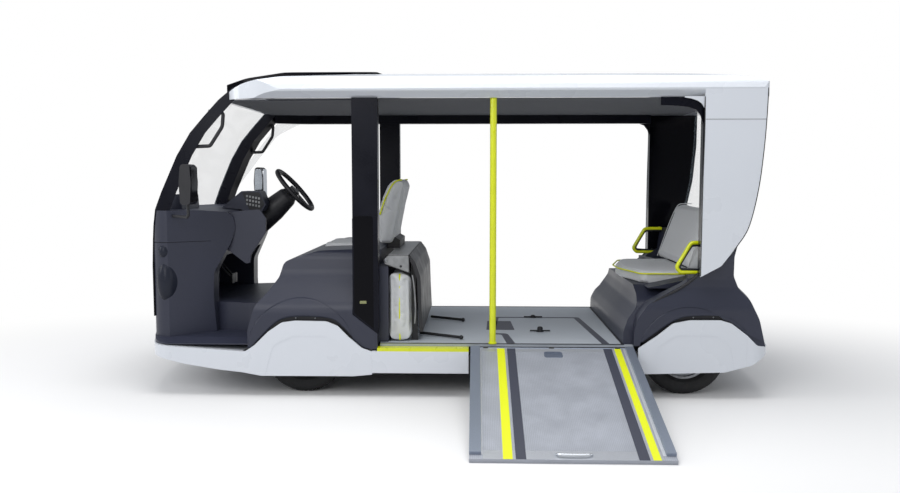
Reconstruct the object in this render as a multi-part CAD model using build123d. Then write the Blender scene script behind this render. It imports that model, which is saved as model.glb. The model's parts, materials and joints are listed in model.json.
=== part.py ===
from build123d import *
import math
import os

# Electric people mover: a low, open-sided shuttle with a central driver, a flat cabin floor,
# a stowed folding bench, a rear bench, and a side ramp that is lowered to the ground.
# Millimetres. +X runs to the rear, -Y is the boarding side with the ramp, +Z is up.

# Driving sizes of the whole vehicle
LENGTH = 3936
WIDTH = 1620
HEIGHT = 2001
FLOOR_TOP = 316
FLOOR_THICK = 16
FRONT_AXLE_X = -914
REAR_AXLE_X = 1412

# Wheels and steering
TYRE_R = 254
TYRE_WIDTH = 145
RIM_R = 160
WHEEL_Y = 622
KINGPIN_Y = 500
STEER_R = 170
STEER_TUBE_R = 16
STEER_X = -1105
STEER_Z = 1234
STEER_TILT = 49.0

# Body shell
BODY_HALF = WIDTH / 2
PANEL_T = 12
FRONT_BOW_R = 2000
REAR_BOW_R = 3270
ROOF_UNDER = 1790
MIRROR_OUT = 905
# gap left where two pieces rest on one another
SEAT_GAP = 0.3

# Ramp
RAMP_X0 = 110
RAMP_X1 = 1075
RAIL_NEAR = 56
RAIL_FAR = 46
RAMP_LENGTH = 1203
RAIL_LOW = 12
RAIL_HIGH = 24
LIP_HIGH = 8
LIP_DEEP = 38
HINGE_Y = -800
HINGE_Z = 300

# Cabin
POLE_X = 243
POLE_Y = -730
POLE_R = 20
BENCH_NEAR_Y = -690
BENCH_FAR_Y = 400
REAR_SEAT_HALF = 450

# The ramp lies on the ground on the lower edge of its side rails
RAMP_RADIUS = math.hypot(RAMP_LENGTH, RAIL_LOW)
RAMP_TILT = math.asin(HINGE_Z / RAMP_RADIUS) - math.atan2(RAIL_LOW, RAMP_LENGTH)
RAMP_ANGLE = math.degrees(RAMP_TILT)

# The lowered ramp reaches further out than the far mirror, so the whole part is moved across
# by this much and its box is then centred on the origin.
RAMP_TIP_Y = HINGE_Y - RAMP_LENGTH * math.cos(RAMP_TILT) - LIP_HIGH * math.sin(RAMP_TILT)
CENTRELINE_Y = -(RAMP_TIP_Y + MIRROR_OUT) / 2

FRONT_AXIS_X = -LENGTH / 2 + FRONT_BOW_R
REAR_AXIS_X = LENGTH / 2 - REAR_BOW_R


def outline(points):
    """Closed line of (a, b, corner radius) rows."""
    places = [(a, b) for a, b, r in points]
    radii = [r for a, b, r in points]
    if any(radii):
        return FilletPolyline(*places, radius=radii, close=True)
    return Polyline(*places, close=True)


def prism(points, y_low, y_high):
    """Side profile of (x, z, radius) rows, run across from y_low to y_high."""
    face = make_face(Plane.XZ * outline(points))
    return Pos(0, y_low, 0) * extrude(face, amount=y_high - y_low, dir=(0, 1, 0))


def slab(points, z_low, z_high):
    """Plan profile of (x, y, radius) rows, run up from z_low to z_high."""
    face = make_face(outline(points))
    return Pos(0, 0, z_low) * extrude(face, amount=z_high - z_low, dir=(0, 0, 1))


def run(points, x_low, x_high):
    """Cross profile of (y, z, radius) rows, run along from x_low to x_high."""
    face = make_face(Plane.YZ * outline(points))
    return Pos(x_low, 0, 0) * extrude(face, amount=x_high - x_low, dir=(1, 0, 0))


def both_halves(points):
    """A left half profile, from bottom to top, with its mirror image."""
    return points + [(-a, b, r) for a, b, r in reversed(points)]


def block(x0, x1, y0, y1, z0, z1):
    return Pos((x0 + x1) / 2, (y0 + y1) / 2, (z0 + z1) / 2) * Box(x1 - x0, y1 - y0, z1 - z0)


def rod(start, end, radius):
    """Round bar between two places."""
    a = Vector(*start)
    b = Vector(*end)
    place = Plane(origin=a, z_dir=b - a)
    return extrude(place * Circle(radius), amount=(b - a).length)


def tube_path(points, radii, radius):
    """Round bar along straight runs joined by tangent arcs."""
    path = FilletPolyline(*points, radius=radii)
    start = Plane(origin=path @ 0, z_dir=path % 0)
    return sweep(start * Circle(radius), path=path)


def disc_y(x, y_low, y_high, z, outer):
    """Round bar across the vehicle."""
    return Pos(x, y_low, z) * extrude(Plane.XZ * Circle(outer), amount=y_high - y_low, dir=(0, 1, 0))


def flip(shape):
    """The same piece on the far side."""
    return mirror(shape, Plane.XZ)


def pair(shape):
    """One node with the near piece and its mirror image on the far side."""
    return Part() + shape + flip(shape)


def turned(points, axis_x, half_angle):
    """Profile of (x, z, radius) rows at the centre, turned about an upright axis at axis_x."""
    rows = [(x - axis_x, z, r) for x, z, r in points]
    face = make_face(Plane.XZ * outline(rows))
    body = revolve(face, Axis.Z, revolution_arc=2 * half_angle)
    return Pos(axis_x, 0, 0) * (Rot(0, 0, -half_angle) * body)


def nose_plan(points, shift, corner, z_low, z_high):
    """Plan outline whose front is bowed, with both front corners rounded."""
    face = make_face(outline(points)) & (Pos(FRONT_AXIS_X, 0) * Circle(FRONT_BOW_R - shift))
    face = fillet(face.vertices().sort_by(Axis.X)[:2], corner)
    return Pos(0, 0, z_low) * extrude(face, amount=z_high - z_low, dir=(0, 0, 1))


def tail_plan(x_low, half, corner, z_low, z_high):
    """Plan outline whose rear is bowed, with both rear corners rounded."""
    strip = Pos((x_low + 2100) / 2, 0) * Rectangle(2100 - x_low, 2 * half)
    face = strip & (Pos(REAR_AXIS_X, 0) * Circle(REAR_BOW_R))
    face = fillet(face.vertices().sort_by(Axis.X)[-2:], corner)
    return Pos(0, 0, z_low) * extrude(face, amount=z_high - z_low, dir=(0, 0, 1))


# Front surface at the centre line, from the bumper to the top of the windscreen
FRONT_LINE = [
    (-LENGTH / 2, 300), (-LENGTH / 2, 776), (-1962, 935), (-1957, 1020), (-1944, 1125),
    (-1905, 1231), (-1810, 1453), (-1730, 1592), (-1645, 1696), (-1560, 1794), (-1477, 1868),
]


def x_at(z):
    """Front surface's x at a height on the centre line."""
    for (x0, z0), (x1, z1) in zip(FRONT_LINE, FRONT_LINE[1:]):
        if z0 <= z <= z1:
            return x0 + (x1 - x0) * (z - z0) / (z1 - z0)
    return FRONT_LINE[0][0] if z < FRONT_LINE[0][1] else FRONT_LINE[-1][0]


def front_rows(z_low, z_high, shift):
    rows = [(x_at(z_low) + shift, z_low, 0)]
    rows += [(x + shift, z, 0) for x, z in FRONT_LINE if z_low < z < z_high]
    rows.append((x_at(z_high) + shift, z_high, 0))
    return rows


def front_solid(z_low, z_high, back, shift):
    """Everything behind the front surface, back to x = back."""
    rows = front_rows(z_low, z_high, shift) + [(back, z_high, 0), (back, z_low, 0)]
    return turned(rows, FRONT_AXIS_X, 26)


def front_skin(z_low, z_high, shift, thick):
    """Shell that follows the front surface."""
    outer = front_rows(z_low, z_high, shift)
    inner = [(x + thick, z, r) for x, z, r in outer]
    return turned(outer + list(reversed(inner)), FRONT_AXIS_X, 26)


def narrowing(half_low, half_high):
    """Upright block at the nose whose half width changes from z 450 to z 1880."""
    faces = []
    for z, half in ((450, half_low), (1880, half_high)):
        faces.append(Plane.XY.offset(z) * make_face(Polyline(
            (-2100, -half), (-1100, -half), (-1100, half), (-2100, half), close=True)))
    return loft(faces, ruled=True)


parts = {}

# White lower band: covers over the wheels, side profiles of (x, z, radius)
FRONT_COVER = [
    (-1267, 275, 0), (-1246, 276, 20), (-1190, 315, 60), (-1108, 396, 60), (-1025, 452, 60),
    (-944, 463, 60), (-756, 460, 60), (-688, 433, 60), (-622, 366, 60), (-542, 298, 60),
    (-482, 278, 0), (-482, 138, 0), (-597, 127, 40), (-1153, 126, 40), (-1267, 147, 0),
]
REAR_COVER = [
    (1107, 306, 0), (1221, 385, 80), (1309, 457, 60), (1410, 477, 60), (1589, 478, 60),
    (1653, 459, 60), (1746, 388, 0), (1746, 200, 0), (1623, 165, 60), (1161, 152, 0),
    (1107, 152, 0),
]
ARCH_FRONT = [
    (-1138, 100, 0), (-1081, 313, 80), (-959, 369, 60), (-759, 370, 60), (-651, 291, 60),
    (-598, 100, 0),
]
ARCH_REAR = [
    (1180, 100, 0), (1225, 318, 80), (1330, 384, 60), (1560, 385, 60), (1650, 320, 60),
    (1690, 100, 0),
]


def cover(side_rows, emboss_rows):
    """Outer skin with a return flange along its top and a shallow embossed arch."""
    body = prism(side_rows, -BODY_HALF, -BODY_HALF + PANEL_T)
    body -= prism(emboss_rows, -BODY_HALF - 1, -BODY_HALF + 1.5)
    return body


parts["front_wheel_covers"] = pair(cover(FRONT_COVER, ARCH_FRONT))
parts["rear_wheel_covers"] = pair(cover(REAR_COVER, ARCH_REAR))

# Front bumper: a bowed band that wraps round the corners and turns under
BUMPER_PLAN = [
    (-2100, -BODY_HALF, 0), (-1267 - SEAT_GAP, -BODY_HALF, 0), (-1267 - SEAT_GAP, BODY_HALF, 0),
    (-2100, BODY_HALF, 0)]
BUMPER_SIDE = [
    (-2000, 311, 0), (-1817, 311, 0), (-1267, 275, 0), (-1267, 147, 0), (-1411, 163, 60),
    (-1615, 196, 60), (-1800, 240, 60), (-2000, 290, 0),
]
bumper = nose_plan(BUMPER_PLAN, 0, 130, 140, 311) & prism(BUMPER_SIDE, -BODY_HALF, BODY_HALF)
hollow = [(x, y * 0.95, r) for x, y, r in BUMPER_PLAN]
bumper -= nose_plan(hollow, 45, 110, 100, 262)
bumper -= block(-1700, -1200, -400, 400, 200, 300)
parts["front_bumper"] = bumper

# Rear bumper: the same band at the tail
TAIL_SIDE = [
    (1746.3, 388, 0), (1809, 324, 60), (1867, 317, 40), (2000, 317, 0), (2000, 300, 0),
    (1862, 262, 80), (1775, 206, 60), (1746.3, 200, 0),
]
tail = tail_plan(1746.3, BODY_HALF, 110, 150, 420) & prism(TAIL_SIDE, -BODY_HALF, BODY_HALF)
tail -= tail_plan(1700, BODY_HALF - 40, 90, 100, 250) & block(1700, 1900, -800, 800, 100, 250)
tail -= block(1700, 1790, -720, 720, 100, 400)
parts["rear_bumper"] = tail


def sill(x0, x1):
    """Folded panel below the floor's edge: outer face, top flange and bottom lip."""
    body = block(x0, x1, -BODY_HALF, -BODY_HALF + 60, 148, 280)
    body -= block(x0 - 1, x1 + 1, -BODY_HALF + PANEL_T, -BODY_HALF + 61, 160, 268)
    return body


parts["sills"] = Part() + sill(-482 + SEAT_GAP, RAMP_X0 - 12) + flip(sill(-482 + SEAT_GAP, 1107 - SEAT_GAP))
parts["sill_strip"] = block(-450, RAMP_X0 - 12, -808, -745 - SEAT_GAP, 280 + SEAT_GAP, 300)

# Chassis: two rails that rise over the rear axle, cross members, outriggers and a tray
RAIL_LINE = [
    (-1650, 200, 0), (1180, 200, 0), (1290, 330, 0), (1740, 330, 0), (1740, 390, 0),
    (1260, 390, 0), (1150, 278, 0), (-1650, 278, 0),
]
CROSS_MEMBERS = [
    # x, low z, high z
    (-1625, 200, 278), (-1250, 200, 278), (-480, 200, 278), (40, 200, 278),
    (640, 200, 278), (1090, 200, 278), (1715, 330, 390),
]
OUTRIGGERS = (-460, 50, 640, 1080)
JACK_PADS = (-420, 1050)
JACK_PAD_Z = 185
HINGE_LUGS = (RAMP_X0 + 90, (RAMP_X0 + RAMP_X1) / 2, RAMP_X1 - 90)
HINGE_PIN_R = 7
chassis = Part()
for side in (-1, 1):
    chassis += prism(RAIL_LINE, 330 * side - 30, 330 * side + 30)
for x, low, high in CROSS_MEMBERS:
    chassis += block(x - 25, x + 25, -305, 305, low, high)
for x in OUTRIGGERS:
    for side in (-1, 1):
        y0, y1 = sorted((side * 355, side * (BODY_HALF - 60 - SEAT_GAP)))
        chassis += block(x - 20, x + 20, y0, y1, 240, 276)
for x in JACK_PADS:
    for side in (-1, 1):
        chassis += Pos(x, side * 330, JACK_PAD_Z + 10) * Cylinder(28, 20)
chassis += block(-446, 1095, -745, 745, 276, FLOOR_TOP - FLOOR_THICK - SEAT_GAP)
for x in HINGE_LUGS:
    chassis += block(x - 15, x + 15, HINGE_Y, -744, 288, FLOOR_TOP - FLOOR_THICK - SEAT_GAP)
    chassis += Pos(x, HINGE_Y, HINGE_Z) * (Rot(0, 90, 0) * Cylinder(12, 30))
    chassis -= Pos(x, HINGE_Y, HINGE_Z) * (Rot(0, 90, 0) * Cylinder(HINGE_PIN_R + SEAT_GAP, 40))
parts["chassis_frame"] = chassis

# Battery between the rails, under the cabin floor
parts["battery_pack"] = block(80, 600, -295, 295, 150, 276 - SEAT_GAP)

# Cabin floor with two tie-down sockets
ANCHORS = [(553, 232), (561, -320)]
ANCHOR_R = 14
floor = block(-440, 1090, -740, 740, FLOOR_TOP - FLOOR_THICK, FLOOR_TOP)
for x, y in ANCHORS:
    floor -= Pos(x, y, FLOOR_TOP) * Cylinder(ANCHOR_R, 4 * FLOOR_THICK)
parts["cabin_floor"] = floor

KINGPIN_LOW = 206
KINGPIN_HIGH = 302

# Front axle: dropped beam with an upright and two kingpin lugs at each end
axle = block(FRONT_AXLE_X - 30, FRONT_AXLE_X + 30, -460, 460, 150, 196)
for side in (-1, 1):
    y0, y1 = sorted((side * 430, side * 460))
    axle += block(FRONT_AXLE_X - 28, FRONT_AXLE_X + 28, y0, y1, 150, 318)
    y0, y1 = sorted((side * 440, side * 525))
    for low, high in ((190, KINGPIN_LOW), (KINGPIN_HIGH, 318)):
        axle += block(FRONT_AXLE_X - 28, FRONT_AXLE_X + 28, y0, y1, low, high)
    axle += block(FRONT_AXLE_X - 28, FRONT_AXLE_X + 28, side * 330 - 28, side * 330 + 28, 195, 200 - SEAT_GAP)
parts["front_axle"] = axle


def knuckle(side):
    """Kingpin, stub axle and steering arm."""
    y = side * KINGPIN_Y
    body = Pos(FRONT_AXLE_X, y, TYRE_R) * Cylinder(18, KINGPIN_HIGH - KINGPIN_LOW - 2 * SEAT_GAP)
    y0, y1 = sorted((y, side * (WHEEL_Y - 10)))
    body += disc_y(FRONT_AXLE_X, y0, y1, TYRE_R, 14)
    body += block(FRONT_AXLE_X, FRONT_AXLE_X + 110, y - 5 * side - 8, y - 5 * side + 8, 215, 227)
    return body


TYRE_PROFILE = [
    # radius, distance from the wheel's middle plane
    (RIM_R, 54), (RIM_R + 18, 68), (218, 72.5), (242, 64), (TYRE_R, 38),
]


def tyre(x, side):
    rows = [(r, -y, 0) for r, y in TYRE_PROFILE] + [(r, y, 0) for r, y in reversed(TYRE_PROFILE)]
    ring = revolve(make_face(outline(rows)), Axis.Y)
    return Pos(x, side * WHEEL_Y, TYRE_R) * ring


def rim(x, side):
    """Pressed steel wheel: hub, dished disc with round windows, and the barrel."""
    rows = [
        (15, 8, 0), (55, 8, 0), (72, 24, 0), (RIM_R - 14, 34, 0), (RIM_R - 14, 54, 0),
        (RIM_R, 54, 0), (RIM_R, -54, 0), (RIM_R - 10, -54, 0), (RIM_R - 10, 22, 0),
        (76, 12, 0), (60, -18, 0), (15, -18, 0),
    ]
    ring = revolve(make_face(outline([(r, side * y, 0) for r, y, c in rows])), Axis.Y)
    for k in range(6):
        ang = math.radians(60 * k)
        ring -= disc_y(108 * math.cos(ang), -100, 100, 108 * math.sin(ang), 17)
    return Pos(x, side * WHEEL_Y, TYRE_R) * ring


WHEELS = [
    ("front_left", FRONT_AXLE_X, -1), ("front_right", FRONT_AXLE_X, 1),
    ("rear_left", REAR_AXLE_X, -1), ("rear_right", REAR_AXLE_X, 1),
]
for name, x, side in WHEELS:
    parts["tyre_" + name] = tyre(x, side)
    parts["rim_" + name] = rim(x, side)
parts["knuckle_left"] = knuckle(-1)
parts["knuckle_right"] = knuckle(1)

# Rear axle with its motor and gear case as one block
rear_axle = disc_y(REAR_AXLE_X, -500, 500, TYRE_R, 32)
rear_axle += disc_y(REAR_AXLE_X, -WHEEL_Y + 10, WHEEL_Y - 10, TYRE_R, 14)
rear_axle += block(REAR_AXLE_X - 150, REAR_AXLE_X + 60, -110, 110, 170, 345)
for side in (-1, 1):
    rear_axle += block(REAR_AXLE_X - 45, REAR_AXLE_X + 45, side * 330 - 28, side * 330 + 28, 240, 330 - SEAT_GAP)
parts["rear_axle"] = rear_axle

# Front cowl: bowed nose, cheeks that narrow to the foot well, dash top and foot platform
COWL_SHIFT = 10 + SEAT_GAP
COWL_LOW = 311 + SEAT_GAP
COWL_PLAN = [
    (-2100, -700, 0), (-1745, -700, 0), (-1385, -455, 0),
    (-1385, 455, 0), (-1745, 700, 0), (-2100, 700, 0),
]
COWL_SIDE = [
    (-2000, COWL_LOW, 0), (-1500, COWL_LOW, 0), (-1515, 560, 0), (-1512, 723, 100), (-1420, 900, 100),
    (-1390, 1000, 60), (-1405, 1075, 30), (-1445, 1104, 30), (-1600, 1118, 0), (-2000, 1118, 0),
]
FOOT_SPACE = [
    (-1760, 527, 0), (-1450, 527, 0), (-1450, 820, 0), (-1540, 870, 60), (-1650, 890, 80),
    (-1760, 760, 80),
]
SEAM_Z = 921
cowl = nose_plan(COWL_PLAN, COWL_SHIFT, 100, COWL_LOW, 1118)
cowl = cowl & front_solid(COWL_LOW, 1118, -1200, COWL_SHIFT)
cowl = cowl & prism(COWL_SIDE, -720, 720)
cowl -= prism(FOOT_SPACE, -432, 432)
inner_plan = [(x + 0, y * 0.985, r) for x, y, r in COWL_PLAN]
seam = nose_plan(COWL_PLAN, COWL_SHIFT, 100, SEAM_Z, SEAM_Z + 4)
seam -= nose_plan(inner_plan, COWL_SHIFT + 6, 95, SEAM_Z - 1, SEAM_Z + 5)
cowl -= seam & block(-2000, -1525, -720, 720, SEAM_Z - 5, SEAM_Z + 9)
cowl -= block(-1900, -1560, -400, 400, 300, 480)
PLATFORM = [
    (-1600, -430, 0), (-1500, -470, 30), (-1300, -520, 40), (-1239.5, -520, 0),
    (-1239.5, 520, 0), (-1300, 520, 40), (-1500, 470, 30), (-1600, 430, 0),
]
cowl += slab(PLATFORM, COWL_LOW, 527)
STEP_PLAN = [(-2100, -785, 0), (-1239.5, -785, 0), (-1239.5, 785, 0), (-2100, 785, 0)]
STEP_CROSS = both_halves([(-790, COWL_LOW, 0), (-790, 316, 0), (-700, 342, 60), (-600, 346, 0)])
step = nose_plan(STEP_PLAN, 6, 130, COWL_LOW, 350) & run(STEP_CROSS, -1960, -1239)
parts["front_cowl"] = cowl + (step - block(-1900, -1560, -400, 400, 300, 480))

# Dash: binnacle and the storage box ahead of it
dash = prism([(-1846, 1118, 0), (-1838, 1206, 15), (-1742, 1216, 15), (-1736, 1118, 0)], -450, -110)
dash += prism([
    (-1560, 1118, 0), (-1424, 1229, 12), (-1300, 1229, 12), (-1262, 1140, 12), (-1290, 1090, 20),
    (-1405, 1090, 0), (-1430, 1108, 0)], -190, -50)
parts["dash_box"] = dash

# Driver's tub over the front wheels: one side outline met by one cross outline
TUB_SIDE = [
    (-1239, 290, 0), (-1239, 400, 120), (-1195, 545, 120), (-1124, 629, 100), (-1072, 706, 80),
    (-1045, 802, 60), (-840, 866, 200), (-640, 874, 200), (-451, 874, 0), (-451, 290, 0),
]
TUB_CROSS = both_halves([
    (-790, 290, 0), (-790, 545, 110), (-715, 640, 120), (-640, 720, 130), (-612, 874, 70),
])
tub = prism(TUB_SIDE, -800, 800) & run(TUB_CROSS, -1300, -400)
tub -= prism([
    (-1205, 280, 0), (-1205, 400, 80), (-1160, 540, 80), (-1090, 620, 60), (-1035, 710, 40),
    (-1010, 775, 30), (-840, 836, 100), (-470, 846, 0), (-470, 280, 0)], -440, 440)
for side in (-1, 1):
    low, high = sorted((side * 420, side * 900))
    tub -= disc_y(FRONT_AXLE_X, low, high, TYRE_R + 16, 325)
    tub -= block(FRONT_AXLE_X - 300, FRONT_AXLE_X + 300, low, high, 280, 312)
foot_cut = [
    (-600, 900, 0), (-600, 498, 0), (-589, 489, 0), (-452, 383, 0), (-400, 383, 0), (-400, 900, 0)]
cover_cut = [(x, z + 8, r) for x, z, r in FRONT_COVER[:11]] + [(-482, 100, 0), (-1267, 100, 0)]
for low, high in ((-900, -780), (780, 900)):
    tub -= prism(cover_cut, low, high)
for low, high in ((-900, -700), (700, 900)):
    tub -= prism(foot_cut, low, high)
tub += block(-452, -392, -700, 700, FLOOR_TOP + SEAT_GAP, 780)
parts["driver_tub"] = tub

# Driver's seat, plain pads
parts["driver_cushion"] = prism([
    (-880, 840, 0), (-880, 872, 12), (-690, 892, 20), (-540, 885, 20), (-530, 860, 0)],
    -250, 250) - tub
parts["driver_back"] = prism([
    (-500, 874.3, 0), (-508, 1064, 60), (-477, 1182, 60), (-430, 1290, 30), (-390, 1328, 20),
    (-330, 1328, 15), (-318, 1300, 15), (-354, 1149, 60), (-411, 911, 30), (-440, 874.3, 0)],
    -240, 240)
parts["seat_back_frame"] = prism([
    (-448, 852, 0), (-452, 905, 20), (-400, 925, 10), (-364, 905, 0), (-366, 852, 0)], -200, 200)

# Roof: cross outline met by the side and plan outlines, hollow above its lining
ROOF_SIDE = [
    (-1440, 1700, 0), (-1440, 1800, 0), (-1378, 1828, 60), (-1252, 1882, 300), (-981, 1929, 400),
    (-629, 1958, 400), (-300, 1972, 400), (164, 1976, 800), (1197, 1966, 800), (1464, 1950, 400),
    (1732, 1908, 300), (1950, 1842, 0), (1950, 1700, 0),
]
ROOF_CROSS = both_halves([
    (-762, ROOF_UNDER, 0), (-806, 1828, 6), (-810, 1840, 10), (-792, 1885, 50), (-730, 1920, 100),
    (-450, 1966, 400),
])
ROOF_PLAN = [
    (-1452, -480, 60), (-1340, -690, 200), (-1080, -810, 400), (1000, -810, 0), (1836, -810, 50),
    (1925, -420, 500), (1925, 420, 500), (1836, 810, 50), (1000, 810, 0), (-1080, 810, 400),
    (-1340, 690, 200), (-1452, 480, 60),
]
roof_full = run(ROOF_CROSS, -1480, 1968) & prism(ROOF_SIDE, -BODY_HALF, BODY_HALF)
roof_full = roof_full & slab(ROOF_PLAN, 1700, 2010)
RIM_IN = 735
cavity_cross = both_halves([
    (-RIM_IN, 1780, 0), (-RIM_IN, 1868, 40), (-690, 1898, 100), (-450, 1938, 300)])
cavity_side = [
    (-1150, 1700, 0), (-1110, 1875, 0), (-981, 1903, 200), (-629, 1932, 400), (1197, 1940, 800),
    (1464, 1925, 400), (1690, 1880, 0), (1770, 1700, 0)]
cavity = run(cavity_cross, -1400, 1800) & prism(cavity_side, -740, 740)
parts["roof_shell"] = roof_full - cavity
LINING_HALF = RIM_IN - SEAT_GAP
parts["roof_lining"] = slab([
    (-1120, -LINING_HALF, 20), (1715, -LINING_HALF, 20), (1715, LINING_HALF, 20),
    (-1120, LINING_HALF, 20)], ROOF_UNDER + 0.5, ROOF_UNDER + 10)

# Black panel that carries the windscreen's line over the front of the roof
STRIP_SIDE = [
    (-1490, 1800, 0), (-1490, 1864, 0), (-1412, 1876, 60), (-1278, 1928, 300), (-1062, 1964, 400),
    (-824, 1994, 300), (-700, HEIGHT, 200), (-560, 1999, 200), (-425, 1962, 0), (-425, 1800, 0),
]
STRIP_CROSS = both_halves([
    (-640, 1780, 0), (-640, 1948, 0), (-500, 1973, 400), (-250, 1994, 900), (-60, HEIGHT, 0)])
STRIP_PLAN = [
    (-1500, -620, 0), (-1300, -570, 200), (-500, -470, 60), (-430, -400, 30), (-430, 400, 30),
    (-500, 470, 60), (-1300, 570, 200), (-1500, 620, 0),
]
strip = prism(STRIP_SIDE, -620, 620) & slab(STRIP_PLAN, 1800, 2010)
strip = strip & run(STRIP_CROSS, -1500, -400) & (
    Pos(-1478 + FRONT_BOW_R, 0, 1900) * Cylinder(FRONT_BOW_R, 400))
parts["roof_front_panel"] = strip - roof_full

# Windscreen, its side pillars and the black nose panel under it
SCREEN_LOW = 1033
SCREEN_HIGH = 1866
PILLAR_IN = (622, 572)
PILLAR_OUT = (692, 652)
parts["windscreen"] = front_skin(SCREEN_LOW, SCREEN_HIGH, 0, 8) & narrowing(
    PILLAR_IN[0] - SEAT_GAP, PILLAR_IN[1] - SEAT_GAP)
parts["nose_panel"] = front_skin(463, SCREEN_LOW - SEAT_GAP, 0, 10) & narrowing(655, 660)
pillar = front_skin(SCREEN_LOW, SCREEN_HIGH, 0, 88) & (narrowing(*PILLAR_OUT) - narrowing(*PILLAR_IN))
pillar = pillar & block(-2100, -1000, -900, 0, 1000, 1870)
parts["a_pillars"] = pair(pillar)

# Clear quarter panes behind the pillars
PANE = [
    (-1760, 1160, 0), (-1700, 1245, 100), (-1520, 1475, 200), (-1385, 1640, 200),
    (-1190, 1735, 200), (-830, 1752, 0), (-830, 1789, 0), (-1340, 1789, 0), (-1450, 1640, 0),
    (-1640, 1400, 0), (-1780, 1160, 0),
]
parts["quarter_glasses"] = prism(PANE, 701, 706)

# Grab loops on the pillars
loop = tube_path([
    (-1490, -640, 1722), (-1400, -640, 1716), (-1408, -640, 1630), (-1486, -640, 1512),
    (-1590, -640, 1508)], [20, 60, 24], 11)
parts["grab_handles"] = pair(loop)

# Centre pillars, with a glossy lower panel
PILLAR_TOP = ROOF_UNDER - SEAT_GAP
pillar_b = prism([
    (-597, 700, 0), (-444, 700, 0), (-444, PILLAR_TOP, 0), (-597, PILLAR_TOP, 0)], -780, -701)
pillar_b += prism([(-598, 498, 0), (-589, 489, 0), (-452, 383, 0), (-444, 383, 0),
                   (-444, 1091, 20), (-598, 1091, 20)], -786, -741)
parts["b_pillars"] = pair(pillar_b)

# Header rail along the far side
HEADER_PLAN = [
    (-1375, 590, 0), (-1400, 636, 40), (-1180, 750, 300), (1462, 750, 0), (1462, 690, 0),
    (-1180, 690, 300),
]
header = slab(HEADER_PLAN, 1727, ROOF_UNDER - SEAT_GAP)
parts["header_rail"] = header - parts["b_pillars"]

# Quarter panels: outer skin and inner lining
QUARTER = [
    (1468, 1788, 0), (1471, 1637, 0), (1465, 1247, 0), (1464, 735, 0), (1583, 799, 60),
    (1681, 928, 120), (1741, 1030, 200), (1796, 1297, 400), (1819, 1561, 400), (1828, 1810, 0),
    (1828, 1840, 0), (1468, 1840, 0),
]
parts["quarter_panels"] = pair(prism(QUARTER, -808, -790)) - roof_full
LINING = [
    (1464, 1789, 0), (1464, 735, 0), (1583, 799, 60), (1681, 928, 120), (1741, 1030, 200),
    (1796, 1297, 400), (1819, 1561, 400), (1820, 1789, 0),
]
parts["quarter_linings"] = pair(prism(LINING, -789.5, -735))

# Rear tub: seat base, fenders and the waisted tail
BASE_SIDE = [
    (1030, 317, 0), (1030, 392, 90), (1060, 462, 90), (1118, 530, 60), (1135, 600, 60),
    (1130, 650, 0), (1640, 650, 0), (1640, 317, 0),
]
BASE_CROSS = both_halves([
    (-735, 317, 0), (-725, 420, 100), (-640, 560, 120), (-475, 650, 40),
])
FENDER_SIDE = [
    (1083, 317, 0), (1085, 406, 90), (1106, 482, 90), (1165, 566, 120), (1261, 622, 200),
    (1391, 689, 200), (1460, 743, 60), (1583, 798, 0), (1640, 880, 0), (1640, 317, 0),
]
TAIL_LINE = [
    (1500, 317, 0), (1958, 317, 0), (1921, 479, 160), (1868, 589, 120), (1799, 657, 80),
    (1768, 734, 80), (1768, 852, 100), (1788, 939, 0), (1650, 939, 0), (1620, 722, 0),
    (1500, 722, 0),
]
TAIL_CROSS = both_halves([
    (-790, 317, 0), (-790, 545, 110), (-755, 655, 120), (-752, 720, 60), (-790, 830, 80),
    (-790, 945, 0),
])
base = prism(BASE_SIDE, -735, 735) & run(BASE_CROSS, 1000, 1700)
base += block(1200, 1640, -600, 600, 640, 700) & prism(
    [(1180, 640, 0), (1470, 700, 0), (1640, 700, 0), (1640, 640, 0)], -600, 600)
fender = prism(FENDER_SIDE, -790, -665)
skirts = turned(TAIL_LINE, REAR_AXIS_X, 18) & slab([
    (1400, -790, 0), (1700, -790, 0), (1990, -790, 0), (1990, 790, 0), (1400, 790, 0)], 300, 1000)
rear = pair(fender) + skirts
rear = rear & run(TAIL_CROSS, 1000, 2000)
rear += base
rear -= prism([
    (1075, 300, 0), (1075, 400, 0), (1150, 520, 0), (1180, 610, 0), (1630, 615, 0),
    (1720, 640, 0), (1800, 590, 0), (1850, 470, 0), (1880, 300, 0)], -430, 430)
for side in (-1, 1):
    low, high = sorted((side * 420, side * 900))
    rear -= disc_y(REAR_AXLE_X, low, high, TYRE_R, 300)
rear_cut = [(x, z + 8, r) for x, z, r in REAR_COVER[:7]] + [
    (1900, 320, 0), (1900, 100, 0), (1060, 100, 0), (1060, 300, 0)]
for low, high in ((-900, -780), (780, 900)):
    rear -= prism(rear_cut, low, high)
parts["rear_tub"] = rear - tail

# Rear bench, plain pads
CUSHION_PLAN = [
    (1092, -120, 80), (1185, -REAR_SEAT_HALF, 40), (1590, -REAR_SEAT_HALF, 30),
    (1590, REAR_SEAT_HALF, 30), (1185, REAR_SEAT_HALF, 40), (1092, 120, 80),
]
parts["rear_cushion"] = slab(CUSHION_PLAN, 650 + SEAT_GAP, 724) - rear
parts["rear_back"] = prism([
    (1500, 724.5, 0), (1475, 740, 10), (1612, 1125, 25), (1645, 1140, 20), (1735, 1134, 15),
    (1650, 945, 0), (1625, 724.5, 0)], -REAR_SEAT_HALF, REAR_SEAT_HALF) - rear
parts["rear_window"] = turned([
    (1773, 939, 0), (1818, 1030, 0), (1868, 1297, 0), (1890, 1561, 0), (1897, 1788, 0),
    (1889, 1788, 0), (1882, 1561, 0), (1860, 1297, 0), (1810, 1030, 0), (1765, 939, 0)],
    REAR_AXIS_X, 16) & block(1500, 2000, -735 + SEAT_GAP, 735 - SEAT_GAP, 939.3, ROOF_UNDER - SEAT_GAP)

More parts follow.
